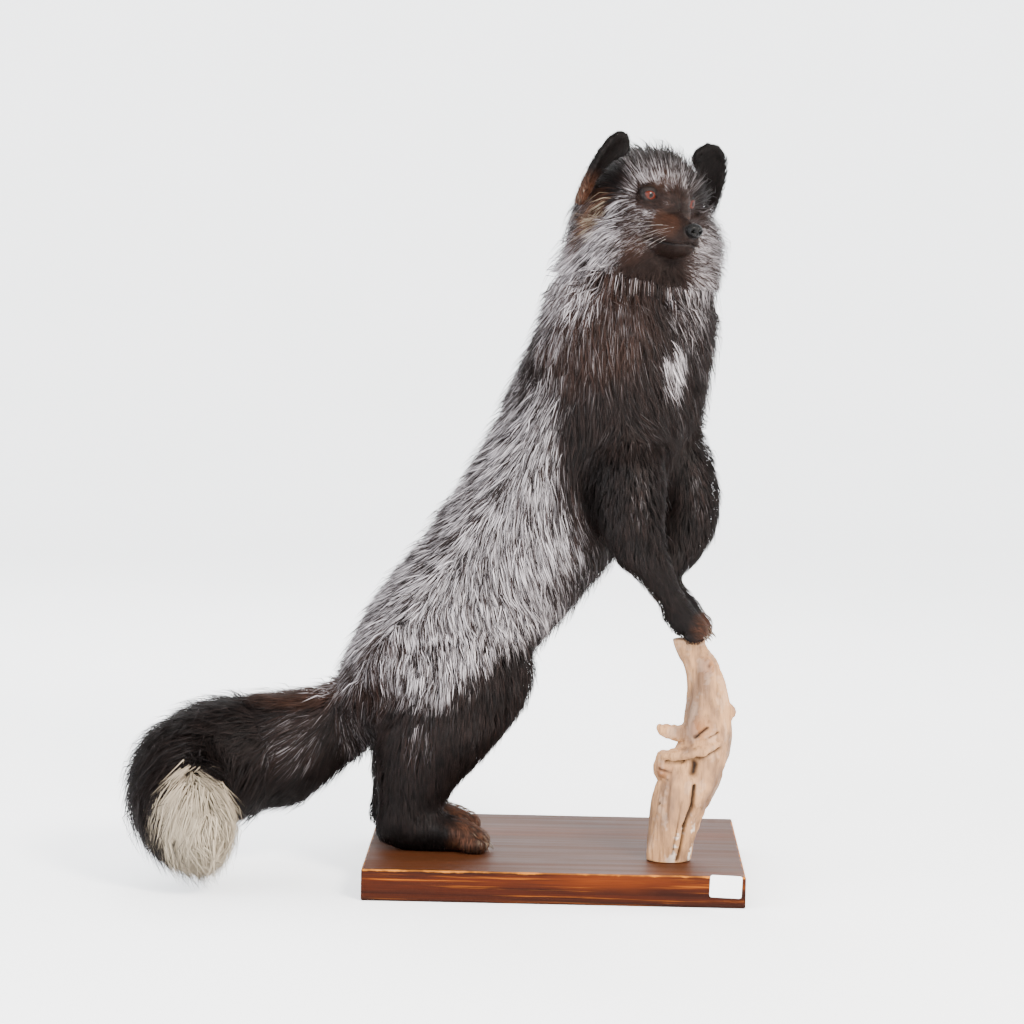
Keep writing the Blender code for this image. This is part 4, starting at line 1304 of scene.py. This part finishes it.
def hide_finish(colours):
    """Tanned hide with its short under fur: matt and felted, with bare dark leather on lids and lips."""
    made, node, place, shader = material("furred hide", Roughness=0.72, Specular_IOR_Level=0.14)
    marks = node("attribute", attribute_name="marks")
    lids = node("attribute", attribute_name="lids")
    bare = node("split", lids)[0]
    # Clumps of under fur 1 mm and 4 mm across: a hair is 0.02 mm, too fine to show
    fine = node("noise", place, 900.0, 2.0, 0.6)
    coarse = node("noise", place, 260.0, 2.0, 0.6)
    tone = node("range", fine, 0.3, 0.7)
    shade = node("range", coarse, 0.35, 0.75)
    felt = node("group", marks, 0.55, tone, shade, node_tree=hair_colour(colours))
    under = node("mix", 0.55, felt, colour("100b0a"))
    leather = node("mix", node("range", coarse, 0.3, 0.7), colour("080606"), colour("1c1513"))
    join(node("mix", node("range", bare, 0.25, 0.75), leather, under), shader, "Base Color")
    join(node("range", bare, 0.2, 0.8, 0.60, 0.78), shader, "Roughness")
    join(node("bump", node("add", fine, coarse), 0.0006, 0.8), shader, "Normal")
    return made


def glass_eye(colours):
    """Painted glass: a clear wet dome over an amber red iris with a dark oval pupil and rim."""
    made, node, _, shader = material(
        "taxidermy glass eye", Roughness=0.40, Specular_IOR_Level=0.05, Coat_Weight=0.22, Coat_Roughness=0.02,
    )
    gaze = node("attribute", attribute_name="gaze")
    pupil = node("length", node("stretch", gaze, (1.45, 1.0, 0.0)))
    ring = node("length", node("stretch", gaze, (1.0, 1.0, 0.0)))
    around = node("direction", node("stretch", gaze, (1.0, 1.0, 0.0)))
    rays = node("noise", around, 9.0, 3.0, 0.7)
    iris = tuple(colours.iris)
    deep = dimmed(iris, 0.22)
    bright = (iris[0] * 2.0, iris[1] * 2.2, iris[2] * 2.1, 1)
    glow = node("mix", node("range", rays, 0.35, 0.70), iris, bright)
    glow = node("mix", node("range", ring, 0.50, 0.84), glow, deep)
    glow = node("mix", node("range", pupil, 0.26, 0.33), colour("0a0605"), glow)
    join(node("mix", node("range", ring, 0.84, 0.92), glow, colour("0d0807")), shader, "Base Color")
    return made


def nose_leather():
    """Bare nose leather under lacquer: near black, pebbled, with a wet gloss."""
    made, node, place, shader = material(
        "lacquered nose leather", Roughness=0.38, Specular_IOR_Level=0.08, Coat_Weight=0.06,
        Coat_Roughness=0.12,
    )
    # Pebbles 0.9 mm across
    cells = node("cells", place, 1150.0)
    worn = node("noise", place, 120.0, 3.0)
    tone = node("mix", node("range", worn, 0.35, 0.7), colour("050505"), colour("100f0e"))
    join(tone, shader, "Base Color")
    join(node("range", worn, 0.3, 0.7, 0.32, 0.46), shader, "Roughness")
    join(node("bump", node("range", cells, 0.0, 0.55, 1.0, 0.0), 0.00025, 0.7), shader, "Normal")
    return made


def claw_horn():
    """Claw keratin: dark horn with fine lengthwise growth lines."""
    made, node, place, shader = material("claw horn", Roughness=0.34, Specular_IOR_Level=0.5, IOR=1.54)
    # Growth lines 0.7 mm apart, which run along the claw
    lines = node("noise", node("stretch", place, (250, 1400, 1400)), 1.0, 2.0)
    tone = node("mix", node("range", lines, 0.3, 0.75), colour("1d1613"), colour("6b5644"))
    join(tone, shader, "Base Color")
    join(node("bump", lines, 0.0001, 0.5), shader, "Normal")
    return made


def whisker_hair():
    """Whisker: a thick pale bristle, almost translucent, with a faint gloss."""
    made, node, place, shader = material("whisker bristle", Roughness=0.35, Specular_IOR_Level=0.5)
    # Paler and darker stretches about 11 mm long
    tint = node("noise", place, 90.0, 3.0)
    tone = node("mix", node("range", tint, 0.4, 0.6), colour("4d4642"), colour("a39b95"))
    join(tone, shader, "Base Color")
    return made


RUBBED_WIDTH, CHIP_DEPTH = 0.0022, 0.0018  # how far in the board's edges are rubbed bare


def stained_board(colours):
    """Pine board, stained red-brown and varnished: long grain, darker late wood, edges rubbed to gold, a top
    face lightened as painted light, and darker towards its bottom edge.
    """
    made, node, place, shader = material(
        "stained varnished pine", Roughness=0.6, Specular_IOR_Level=0.07, Coat_Weight=0.02,
        Coat_Roughness=0.3,
    )
    low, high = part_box("base_board")
    centre = (low + high) / 2
    # Along the board's length: broad bands 70 mm wide, growth rings 24 mm, fibres 1.6 mm, pores 0.7 mm.
    # Pine's own fibres are 0.03 mm, so these are drawn as coarse as they need to show
    warp = node("noise", node("stretch", place, (2.2, 14.0, 14.0)), 1.0, 3.0, 0.6)
    bands = node("stretch", place, (0.9, 26.0, 26.0))
    rings = node("noise", bands, 1.6, 5.0, 0.62, 0.9)
    fibres = node("noise", node("stretch", place, (9.0, 620.0, 620.0)), 1.0, 3.0, 0.65)
    pores = node("noise", node("stretch", place, (28.0, 1500.0, 1500.0)), 1.0, 2.0, 0.7)
    stain = tuple(colours.stain)
    tone = node("mix", node("range", rings, 0.34, 0.66), dimmed(stain, 0.24), stain)
    for pattern, low_end, high_end, share, hexes in (
        (warp, 0.52, 0.80, 0.7, "743207"),
        (fibres, 0.48, 0.72, 0.55, "1d0d06"),
        (pores, 0.60, 0.78, 0.5, "140804"),
    ):
        shown = node("multiply", node("range", pattern, low_end, high_end), share)
        tone = node("mix", shown, tone, colour(hexes))
    x, y, z = node("split", place)
    edge_top = node("subtract", high.z, z)
    out_x = node("subtract", (high.x - low.x) / 2, node("absolute", node("subtract", x, centre.x)))
    out_y = node("subtract", (high.y - low.y) / 2, node("absolute", node("subtract", y, centre.y)))
    side = node("minimum", out_x, out_y)
    # Painted light: the top face is lighter and browner, standing in for the soft sheen of light on it.
    tone = node("mix", node("range", edge_top, 0.0004, 0.0015, 0.62, 0.0), tone, colour("482814"))
    worn = node("add", edge_top, side)
    chips = node("noise", node("stretch", place, (30, 60, 60)), 1.0, 4.0, 0.65)
    ragged = node("multiply", node("range", chips, 0.40, 0.70), CHIP_DEPTH)
    rubbed = node("range", node("subtract", worn, ragged), 0.0, RUBBED_WIDTH, 1.0, 0.0)
    tone = node("mix", node("multiply", rubbed, 0.85), tone, colour("b06a1c"))
    streak = node("noise", node("stretch", place, (5.0, 90.0, 210.0)), 1.0, 4.0, 0.6)
    face = node("range", edge_top, 0.0015, 0.005)
    gold = node("multiply", node("range", streak, 0.56, 0.74), node("multiply", face, 0.75))
    tone = node("mix", gold, tone, colour("8f4c10"))
    # Darker towards the bottom edge, over the board's lowest 10 mm.
    darker_to_foot = node("range", node("subtract", z, low.z), 0.0, 0.010, 0.65, 0.0)
    join(node("mix", darker_to_foot, tone, colour("160a05")), shader, "Base Color")
    join(node("range", rings, 0.2, 0.8, 0.5, 0.68), shader, "Roughness")
    join(node("bump", node("add", fibres, rings), 0.00035, 0.55), shader, "Normal")
    return made


def bare_driftwood(colours):
    """Driftwood: bleached, sea-worn and dry, with raised grain, and painted shade darkening its hollows,
    cracks and knot pits.
    """
    made, node, place, shader = material("weathered driftwood", Roughness=0.82, Specular_IOR_Level=0.22)
    # The worn attribute holds painted shade in the hollows, the bleached flakes and the knots.
    worn = node("attribute", attribute_name="worn")
    hollow, pale, knot = node("split", worn)
    # Grain 4 mm wide and 60 mm long, fibres 0.9 mm wide, and stains 38 mm across
    grain = node("noise", node("stretch", place, (260, 260, 17)), 1.0, 4.0, 0.65, 0.4)
    fine = node("noise", node("stretch", place, (1100, 1100, 60)), 1.0, 2.0, 0.6)
    patch = node("noise", node("stretch", place, (26, 26, 13)), 1.0, 3.0, 0.55)
    wood = tuple(colours.driftwood)
    tone = node("mix", node("range", patch, 0.38, 0.60), colour("6f5440"), wood)
    for pattern, low, high, share, hexes in (
        (grain, 0.46, 0.70, 0.48, "4a3320"),
        (fine, 0.55, 0.75, 0.35, "332114"),
    ):
        shown = node("multiply", node("range", pattern, low, high), share)
        tone = node("mix", shown, tone, colour(hexes))
    tone = node("mix", knot, tone, colour("7c4c2a"))
    tone = node("mix", pale, tone, colour("e6dccf"))
    # Painted shade: hollows, cracks and knot pits darkened towards near black.
    join(node("mix", hollow, tone, colour("1c120b")), shader, "Base Color")
    join(node("bump", node("add", grain, node("multiply", fine, 0.4)), 0.0011, 0.8), shader, "Normal")
    return made


def label_card():
    """Coated paper: plain white, faintly fibrous, with nothing on it."""
    made, node, place, shader = material("white paper label", Roughness=0.55, Specular_IOR_Level=0.35)
    # Paper fibre is about 0.03 mm, drawn at 0.7 mm so that it shows
    fibre = node("noise", place, 1400.0, 2.0, 0.6)
    tone = node("mix", node("range", fibre, 0.3, 0.7), colour("eceded"), colour("f6f6f6"))
    join(tone, shader, "Base Color")
    join(node("bump", fibre, 0.00005, 0.4), shader, "Normal")
    return made


def studio_floor():
    """Matt seamless studio floor, pale and even."""
    made, node, place, shader = material(
        "pale studio floor", Roughness=0.9, Specular_IOR_Level=0.1, Emission_Color=colour("f4f6f8"),
        Emission_Strength=1.2,
    )
    tint = node("noise", place, 2.0, 2.0)
    tone = node("mix", node("range", tint, 0.3, 0.7), colour("f2f3f3"), colour("f5f5f6"))
    join(tone, shader, "Base Color")
    return made


# Eyes, nose, claws, whiskers


def head_mesh(name, local, faces, extra=None):
    """A piece given in the head's frame, as an object in the world."""
    mesh = bpy.data.meshes.new(name)
    mesh.from_pydata((local @ HEAD_TURN.T + np.array(HEAD.translation)).tolist(), [], faces)
    mesh.shade_smooth()
    if extra is not None:
        put_attribute(mesh, *extra)
    return new_object(name, mesh)


def ball(segments, rings):
    """A unit ball with its poles along Z: points and faces."""
    bm = bmesh.new()
    bmesh.ops.create_uvsphere(bm, u_segments=segments, v_segments=rings, radius=1)
    points = np.array([vert.co for vert in bm.verts])
    faces = [[vert.index for vert in face.verts] for face in bm.faces]
    bm.free()
    return points, faces


def make_eye(side):
    """A glass eye: a ball with the dome of its cornea, and each point's place on its face."""
    middle, look, inward, up = eye_axes(side)
    points, faces = ball(64, 48)
    dome = 1 + 0.055 * smooth_step(points[:, 2], 0.70, 0.97)
    inward_flat = unit(np.cross(up, look)) * (1 if np.cross(up, look) @ inward > 0 else -1)
    axes = np.array((inward_flat, up, look))
    local = middle + (points * dome[:, None] * EYE_RADIUS) @ axes
    if np.linalg.det(axes) < 0:
        faces = [face[::-1] for face in faces]
    return head_mesh(f"glass_eye_{side}", local, faces, ("gaze", points))


NOSE_RADII = np.array((0.0082, 0.0104, 0.0086))
NOSE_SQUARENESS = 0.86  # below 1, the nose pad's ball turns boxier
NOSTRIL_DEPTH, SLIT_DEPTH, WING_RISE = 0.0052, 0.0024, 0.0007


def make_nose():
    """The nose pad: two nostrils with their slits, the groove between them and the swollen wings."""
    points, faces = ball(112, 84)
    points = points[:, [2, 1, 0]] * (1, 1, -1)
    local = np.sign(points) * np.abs(points) ** NOSE_SQUARENESS * NOSE_RADII
    front = smooth_step(points[:, 0], 0.0, 0.6)
    for out in SIDES.values():
        pit = span((local - (0.0062, out * 0.0046, -0.0008)) / (0.0050, 0.0021, 0.0021))
        local[:, 0] -= NOSTRIL_DEPTH * swell(pit) * front
        slit_along = np.clip((np.abs(local[:, 1]) - 0.0050) / 0.0048, 0, 1)
        slit_height = -0.0012 - 0.0030 * slit_along
        on_slit = swell(local[:, 2] - slit_height, 0.0010) * (local[:, 1] * out > 0.0045)
        local[:, 0] -= SLIT_DEPTH * on_slit * (1 - 0.5 * slit_along) * front
        wing = span((local - (0.0050, out * 0.0082, 0.0008)) / 0.0035)
        local[:, 1] += out * WING_RISE * swell(wing)
    below = smooth_step(-local[:, 2], -0.0010, 0.0050)
    groove = swell(local[:, 1], 0.0007) * front
    local[:, 0] -= groove * (0.0005 + 0.0012 * below)
    return head_mesh("nose_pad", local + (NOSE_FORWARD, 0, -NOSE_DOWN), faces)


def bristle_tree():
    """Geometry nodes: a tapered, bent bristle on each point of a mesh, pointed by its attributes."""
    tree = bpy.data.node_groups.get("bent bristles")
    if tree:
        return tree
    tree = bpy.data.node_groups.new("bent bristles", "GeometryNodeTree")
    for name, kind, start in (
        ("Roots", "Geometry", None), ("Bend", "Float", 0.2), ("Breadth", "Float", 0.1), ("Sides", "Int", 8),
        ("Rings", "Int", 10), ("Finish", "Material", None),
    ):
        made = tree.interface.new_socket(name, in_out="INPUT", socket_type=f"NodeSocket{kind}")
        if start is not None:
            made.default_value = start
    tree.interface.new_socket("Bristles", in_out="OUTPUT", socket_type="NodeSocketGeometry")
    given = add(tree, "given")
    half_way = add(tree, "vector", 0.0, add(tree, "multiply", given["Bend"], 0.15), 0.55)
    finish = add(tree, "vector", 0.0, given["Bend"], 1.0)
    curve = add(tree, "bezier", given["Rings"], (0, 0, 0), half_way, finish)
    taper = add(tree, "power", add(tree, "subtract", 1.0, add(tree, "share")), 0.8)
    taper = add(tree, "maximum", taper, 0.06)
    ring = add(tree, "ring", given["Sides"], given["Breadth"])
    horn = add(tree, "tube", curve, ring, True, taper)
    upright = add(tree, "aim", add(tree, "named", "aim"))
    turned = add(tree, "roll", upright, add(tree, "named", "lean"))
    placed = add(tree, "place", given["Roots"], horn, turned, add(tree, "named", "size"))
    smooth = add(tree, "smooth", add(tree, "realize", placed), True)
    add(tree, "result", add(tree, "finish", smooth, given["Finish"]))
    return tree


def bristles(name, roots, finish, **sizes):
    """A mesh of bristles from rows of (root, aim, lean, length)."""
    mesh = bpy.data.meshes.new(name)
    mesh.from_pydata([tuple(row[0]) for row in roots], [], [])
    for index, key in ((1, "aim"), (2, "lean")):
        put_attribute(mesh, key, [tuple(row[index]) for row in roots])
    put_attribute(mesh, "size", [(row[3],) * 3 for row in roots])
    made = new_object(name, mesh)
    tree = bristle_tree()
    modifier = made.modifiers.new("bristles", "NODES")
    modifier.node_group = tree
    keys = {item.name: item.identifier for item in tree.interface.items_tree if item.in_out == "INPUT"}
    modifier[keys["Finish"]] = finish
    for key, value in sizes.items():
        modifier[keys[key]] = value
    return evaluated(made)


CLAW_LENGTHS = {"forepaw": 0.011, "hind_paw": 0.0125}
WHISKER_LENGTHS = (0.030, 0.055)  # the shortest and the longest at the front of the muzzle


def claw_roots():
    """A claw at the front of each toe, curving down."""
    for paw, (length, _, height) in TOE_SIZES.items():
        for side in SIDES:
            for place in toe_places(side, paw):
                root = place + Vector((length * 0.72, 0, height * 0.10))
                yield root, Vector((1, 0, -0.35)).normalized(), Vector((0, 0, -1)), CLAW_LENGTHS[paw]


def whisker_roots(settings):
    """Rows of whiskers on each side of the muzzle, swept back and down."""
    rng = np.random.default_rng(settings.seed + 90)
    for out in SIDES.values():
        for row in range(4):
            for i in range(4 - row // 2):
                local = np.array((0.050 - 0.0075 * i - 0.002 * row, 0, -0.030 - 0.0055 * row))
                start = HEAD @ Vector((local[0], out * 0.030, local[2]))
                heading = HEAD_TURN @ np.array((0.0, -out, 0.0))
                hit = WORK["tree"].ray_cast(start, Vector(heading))[0]
                if hit is None:
                    continue
                droop = -0.16 - 0.20 * row + 0.1 * rng.normal()
                aim = Vector(HEAD_TURN @ unit(np.array((-0.10 - 0.16 * i, out, droop))))
                lean = Vector(HEAD_TURN @ unit(np.array((-0.8, 0, -0.75))))
                yield hit - aim * MM, aim, lean, rng.uniform(*WHISKER_LENGTHS) + 0.004 * i


# The stump

# Cracks in the stump, and ridges where the depth is below 0: both ends, half width and depth
CRACKS = (
    ((0.1755, -0.137, 0.140), (0.1740, -0.136, 0.112), 0.0020, 0.0080),
    ((0.1740, -0.136, 0.112), (0.1650, -0.134, 0.088), 0.0026, 0.0090),
    ((0.1650, -0.134, 0.088), (0.1565, -0.132, 0.044), 0.0018, 0.0080),
    ((0.1365, -0.128, 0.1770), (0.1600, -0.132, 0.1785), 0.0042, -0.0040),
    ((0.1600, -0.132, 0.1785), (0.1850, -0.139, 0.1845), 0.0042, -0.0040),
    ((0.1850, -0.139, 0.1845), (0.2080, -0.132, 0.1965), 0.0038, -0.0034),
    ((0.1380, -0.129, 0.1690), (0.1600, -0.132, 0.1705), 0.0020, 0.0070),
    ((0.1600, -0.132, 0.1705), (0.1840, -0.139, 0.1765), 0.0020, 0.0070),
    ((0.1840, -0.139, 0.1765), (0.2070, -0.132, 0.1890), 0.0016, 0.0050),
    ((0.1745, -0.137, 0.1680), (0.1730, -0.137, 0.1580), 0.0048, 0.0090),
    ((0.1766, -0.131, 0.2015), (0.1905, -0.133, 0.2150), 0.0016, 0.0050),
    ((0.1930, -0.133, 0.2025), (0.2040, -0.131, 0.2090), 0.0012, 0.0036),
    ((0.1300, -0.126, 0.1600), (0.1460, -0.130, 0.1560), 0.0014, 0.0040),
    ((0.1310, -0.126, 0.1490), (0.1420, -0.129, 0.1460), 0.0012, 0.0032),
    ((0.1500, -0.134, 0.0520), (0.1600, -0.136, 0.1200), 0.0009, 0.0020),
    ((0.1920, -0.130, 0.2250), (0.1840, -0.125, 0.2850), 0.0009, 0.0018),
    ((0.1300, -0.125, 0.1150), (0.1310, -0.126, 0.1160), 0.0013, 0.0036),
    ((0.1430, -0.130, 0.1150), (0.1440, -0.130, 0.1160), 0.0015, 0.0036),
    ((0.1950, -0.131, 0.0600), (0.2000, -0.128, 0.1300), 0.0008, 0.0018),
)
RIDGE_SPACING, RIDGE_RISE = 0.0042, 0.0015  # the raised grain
BROAD_SPACING, BROAD_RISE = 0.0120, 0.0024  # its broader folds
LUMP_SPACING, LUMP_RISE = 0.030, 0.0020
BLEACHED_PLACE, BLEACHED_RADII = (0.166, -0.13, 0.060), (0.018, 0.05, 0.030)
# Knots: middle, radius, rise and how deep the pit in them is
KNOTS = (
    ((0.190, -0.126, 0.292), 0.011, 0.0075, 0.0030),
    ((0.183, -0.130, 0.211), 0.016, 0.0085, 0.0),
    ((0.136, -0.126, 0.156), 0.011, 0.0036, 0.0),
    ((0.222, -0.105, 0.232), 0.009, 0.0028, 0.0014),
)


def make_driftwood():
    """The stump with its raised grain, knots, folds, hollows and the long crack at its foot."""
    bm = bmesh.new()
    add_solid(bm, "driftwood", 0.0)
    wood = remeshed("driftwood_stump", bm, WOOD_VOXEL, 2)
    points, normals, _ = read(wood.data)
    edges = edges_of(wood.data)
    low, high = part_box("driftwood")
    normals = unit(spread(normals, edges, 2))
    top = smooth_step(high.z - points[:, 2], 0.0005, 0.0040)
    foot = smooth_step(points[:, 2] - low.z, 0.0005, 0.0030)
    inner = top * foot
    twisted = points + np.column_stack([0.010 * noise_at(points, 0.055), np.zeros((len(points), 2))])
    ridges = noise_at(twisted * (1, 1, 0.075), RIDGE_SPACING, 5.0)
    broad = noise_at(twisted * (1, 1, 0.16), BROAD_SPACING, 2.0)
    lumps = noise_at(points * (1, 1, 0.6), LUMP_SPACING, 8.0)
    height = RIDGE_RISE * ridges + BROAD_RISE * broad + LUMP_RISE * lumps
    # Painted shade: how far each crack, knot pit and hollow is darkened.
    hollow = np.zeros(len(points))
    for start, end, width, depth in CRACKS:
        gap = off_line(points, start, end, 0.0016 * broad)
        cut = swell(gap, width)
        height -= depth * cut
        hollow = np.maximum(hollow, cut * (depth > 0))
    knot = np.zeros(len(points))
    for middle, radius, rise, pit in KNOTS:
        away = span((points - middle) * (1, 1, 0.85)) / radius
        height += rise * swell(away) - pit * swell(away, 0.28)
        height += 0.3 * pit * np.sin(away * 15) * np.exp(-((away - 0.6) ** 2) / 0.15)
        knot = np.maximum(knot, swell(away, 0.75))
        hollow = np.maximum(hollow, 360 * pit * swell(away, 0.25))
    moved = points + normals * (height * inner)[:, None]
    wood.data.vertices.foreach_set("co", moved.ravel())
    wood.data.update()
    wood.data.shade_smooth()
    # Painted shade in the hollows: points lying below their neighbours are darkened.
    cove = spread(height, edges, 6) - height
    hollow = np.clip(np.maximum(hollow, smooth_step(cove, 0.0003, 0.0014) * 0.85), 0, 1)
    flakes = noise_at(points * (1, 1, 0.5), 0.012, 4.0) + 0.5 * noise_at(points, 0.004, 1.0)
    region = swell(span((points - BLEACHED_PLACE) / BLEACHED_RADII))
    pale = np.clip(smooth_step(flakes, 0.18, 0.42) * (0.06 + 0.94 * region), 0, 1)
    # Kept as the worn attribute: painted shade, bleached flakes, knots.
    put_attribute(wood.data, "worn", np.column_stack([hollow, pale, knot * 0.7]))
    return wood


def off_line(points, start, end, sway):
    start, end = np.array(start), np.array(end)
    run = end - start
    share = np.clip((points - start) @ run / (run @ run), 0, 1)
    away = points - start - share[:, None] * run
    away[:, 0] += sway
    return span(away * (1, 0.5, 1))


# Stage


CAMERA_PLACE = (0.016, -4.645, 0.867)
SENSOR_WIDTH = 36.0  # millimetres
CAMERA_YAW, CAMERA_PITCH, CAMERA_ROLL = -0.0171, 0.0848, 0.0182  # radians: to the left, down, and leaning


def camera_turn():
    """The camera's right, up and backward directions."""
    level = Vector((math.cos(CAMERA_YAW), -math.sin(CAMERA_YAW), 0))
    flat = Vector((math.sin(CAMERA_YAW), math.cos(CAMERA_YAW), 0))
    forward = flat * math.cos(CAMERA_PITCH) - Vector((0, 0, math.sin(CAMERA_PITCH)))
    upward = level.cross(forward)
    right = level * math.cos(CAMERA_ROLL) + upward * math.sin(CAMERA_ROLL)
    up = upward * math.cos(CAMERA_ROLL) - level * math.sin(CAMERA_ROLL)
    return Matrix((right, up, -forward)).transposed()


AIM = (0.0, -0.05, 0.55)  # what the lamps point at
# Each lamp: its name, its place, its size, the setting that gives its power, and its tint
LAMPS = (
    ("key_light", (1.7, -2.9, 2.5), 1.1, "key_power", "fff6ec"),
    ("fill_light", (-2.4, -2.2, 1.3), 2.0, "fill_power", "eef3ff"),
    ("back_light", (-0.6, 2.6, 2.4), 1.6, "fill_power", "ffffff"),
)


def area_light(name, place, size, power, tint):
    lamp = bpy.data.lights.new(name, "AREA")
    lamp.shape = "DISK"
    lamp.size = size
    lamp.energy = power
    lamp.color = colour(tint)[:3]
    made = bpy.data.objects.new(name, lamp)
    bpy.context.scene.collection.objects.link(made)
    made.location = place
    made.rotation_euler = (Vector(AIM) - Vector(place)).to_track_quat("-Z", "Y").to_euler()


FLOOR_RADIUS, SWEEP_RADIUS, WALL_TOP = 6.0, 3.0, 7.0


def make_floor():
    """A round floor that sweeps up all round into a wall."""
    bm = bmesh.new()
    turns = np.radians(np.arange(0, 91, 6))
    profile = [(FLOOR_RADIUS + SWEEP_RADIUS * math.sin(t), SWEEP_RADIUS * (1 - math.cos(t))) for t in turns]
    profile.append((FLOOR_RADIUS + SWEEP_RADIUS, WALL_TOP))
    rim = [bm.verts.new((0, 0, 0))]
    rim += [bm.verts.new((radius, 0, height)) for radius, height in profile]
    edges = [bm.edges.new(pair) for pair in zip(rim, rim[1:])]
    bmesh.ops.spin(
        bm, geom=rim + edges, cent=(0, 0, 0), axis=(0, 0, 1), angle=2 * math.pi, steps=96, use_merge=True,
    )
    bmesh.ops.remove_doubles(bm, verts=bm.verts, dist=0.001)
    bmesh.ops.recalc_face_normals(bm, faces=bm.faces)
    mesh = bpy.data.meshes.new("studio_floor")
    bm.to_mesh(mesh)
    bm.free()
    mesh.shade_smooth()
    return new_object("studio_floor", mesh)


def make_stage(settings):
    camera = bpy.data.objects.new("camera", bpy.data.cameras.new("camera"))
    bpy.context.scene.collection.objects.link(camera)
    camera.data.lens = settings.lens
    camera.data.sensor_width = SENSOR_WIDTH
    camera.data.clip_end = 100
    camera.location = CAMERA_PLACE
    camera.rotation_euler = camera_turn().to_euler()
    bpy.context.scene.camera = camera
    floor = make_floor()
    floor.data.materials.append(studio_floor())
    for name, place, size, power, tint in LAMPS:
        area_light(name, place, size, getattr(settings, power), tint)
    world = bpy.data.worlds.new("studio")
    bpy.context.scene.world = world
    world.use_nodes = True
    background = world.node_tree.nodes["Background"]
    background.inputs["Color"].default_value = colour("f4f5f6")
    background.inputs["Strength"].default_value = settings.sky


# Operators


class FOX_OT_stage(bpy.types.Operator):
    """Sets the camera, the floor and the lights"""

    bl_idname = "fox.stage"
    bl_label = "Studio"

    def execute(self, context):
        make_stage(context.scene.fox_stage)
        return {"FINISHED"}


class FOX_OT_hide(bpy.types.Operator):
    """Models the hide in one skin: body, head, ears, paws, lids and lips"""

    bl_idname = "fox.hide"
    bl_label = "Hide"

    def execute(self, context):
        hide = make_hide()
        envelope = make_envelope()
        hide_fields(hide, envelope)
        bpy.data.objects.remove(envelope)
        thin_out(hide)
        own(hide, FLESH, "skin", hide_finish(context.scene.fox_colours))
        return {"FINISHED"}


class FOX_OT_coat(bpy.types.Operator):
    """Grows every piece of the coat over the hide"""

    bl_idname = "fox.coat"
    bl_label = "Coat"

    def execute(self, context):
        finish = guard_hair(context.scene.fox_colours)
        for name in COAT_PIECES:
            own(grow(name, context.scene.fox_coat), (), "fur", finish)
        return {"FINISHED"}


class FOX_OT_eyes(bpy.types.Operator):
    """Makes the glass eyes"""

    bl_idname = "fox.eyes"
    bl_label = "Eyes"

    def execute(self, context):
        finish = glass_eye(context.scene.fox_colours)
        for side in SIDES:
            own(make_eye(side), (f"eye_{side}",), "eye_glass", finish)
        return {"FINISHED"}


class FOX_OT_nose(bpy.types.Operator):
    """Models the nose pad"""

    bl_idname = "fox.nose"
    bl_label = "Nose"

    def execute(self, context):
        own(make_nose(), ("nose",), "nose_leather", nose_leather())
        return {"FINISHED"}


class FOX_OT_bristles(bpy.types.Operator):
    """Sets the claws and the whiskers with one geometry nodes tree"""

    bl_idname = "fox.bristles"
    bl_label = "Claws and whiskers"

    def execute(self, context):
        horn, hair = claw_horn(), whisker_hair()
        claws = bristles("claws", list(claw_roots()), horn, Bend=0.42, Breadth=0.17, Sides=10, Rings=9)
        own(claws, (), "claw_horn", horn)
        roots = list(whisker_roots(context.scene.fox_coat))
        whiskers = bristles("whiskers", roots, hair, Bend=0.30, Breadth=0.0030, Sides=4, Rings=10)
        own(whiskers, (), "fur", hair)
        return {"FINISHED"}


class FOX_OT_mount(bpy.types.Operator):
    """Models the driftwood stump and finishes the board and its blank label"""

    bl_idname = "fox.mount"
    bl_label = "Mount"

    def execute(self, context):
        colours = context.scene.fox_colours
        own(make_driftwood(), ("driftwood",), "driftwood", bare_driftwood(colours))
        for node, finish in (("base_board", stained_board(colours)), ("base_label", label_card())):
            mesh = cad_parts[node].data
            mesh.materials.clear()
            mesh.materials.append(finish)
        return {"FINISHED"}


OPERATORS = (FOX_OT_stage, FOX_OT_hide, FOX_OT_coat, FOX_OT_eyes, FOX_OT_nose, FOX_OT_bristles, FOX_OT_mount)
SETTINGS = {"fox_coat": FoxCoatSettings, "fox_colours": FoxColourSettings, "fox_stage": FoxStageSettings}


class FOX_PT_panel(bpy.types.Panel):
    """Lists the fox's settings and the steps that make it"""

    bl_idname = "FOX_PT_panel"
    bl_label = "Mounted Silver Fox"
    bl_space_type = "VIEW_3D"
    bl_region_type = "UI"
    bl_category = "Fox"

    def draw(self, context):
        for group, kind in SETTINGS.items():
            box = self.layout.box()
            for name in kind.__annotations__:
                box.prop(getattr(context.scene, group), name)
        for operator in OPERATORS:
            self.layout.operator(operator.bl_idname)


def register():
    for kind in (*SETTINGS.values(), *OPERATORS, FOX_PT_panel):
        bpy.utils.register_class(kind)
    for group, kind in SETTINGS.items():
        setattr(bpy.types.Scene, group, bpy.props.PointerProperty(type=kind))


def unregister():
    for group in SETTINGS:
        delattr(bpy.types.Scene, group)
    for kind in (FOX_PT_panel, *reversed(OPERATORS), *SETTINGS.values()):
        bpy.utils.unregister_class(kind)


def main():
    register()
    for operator in OPERATORS:
        getattr(bpy.ops.fox, operator.bl_idname.removeprefix("fox."))()


if __name__ == "__main__":
    main()
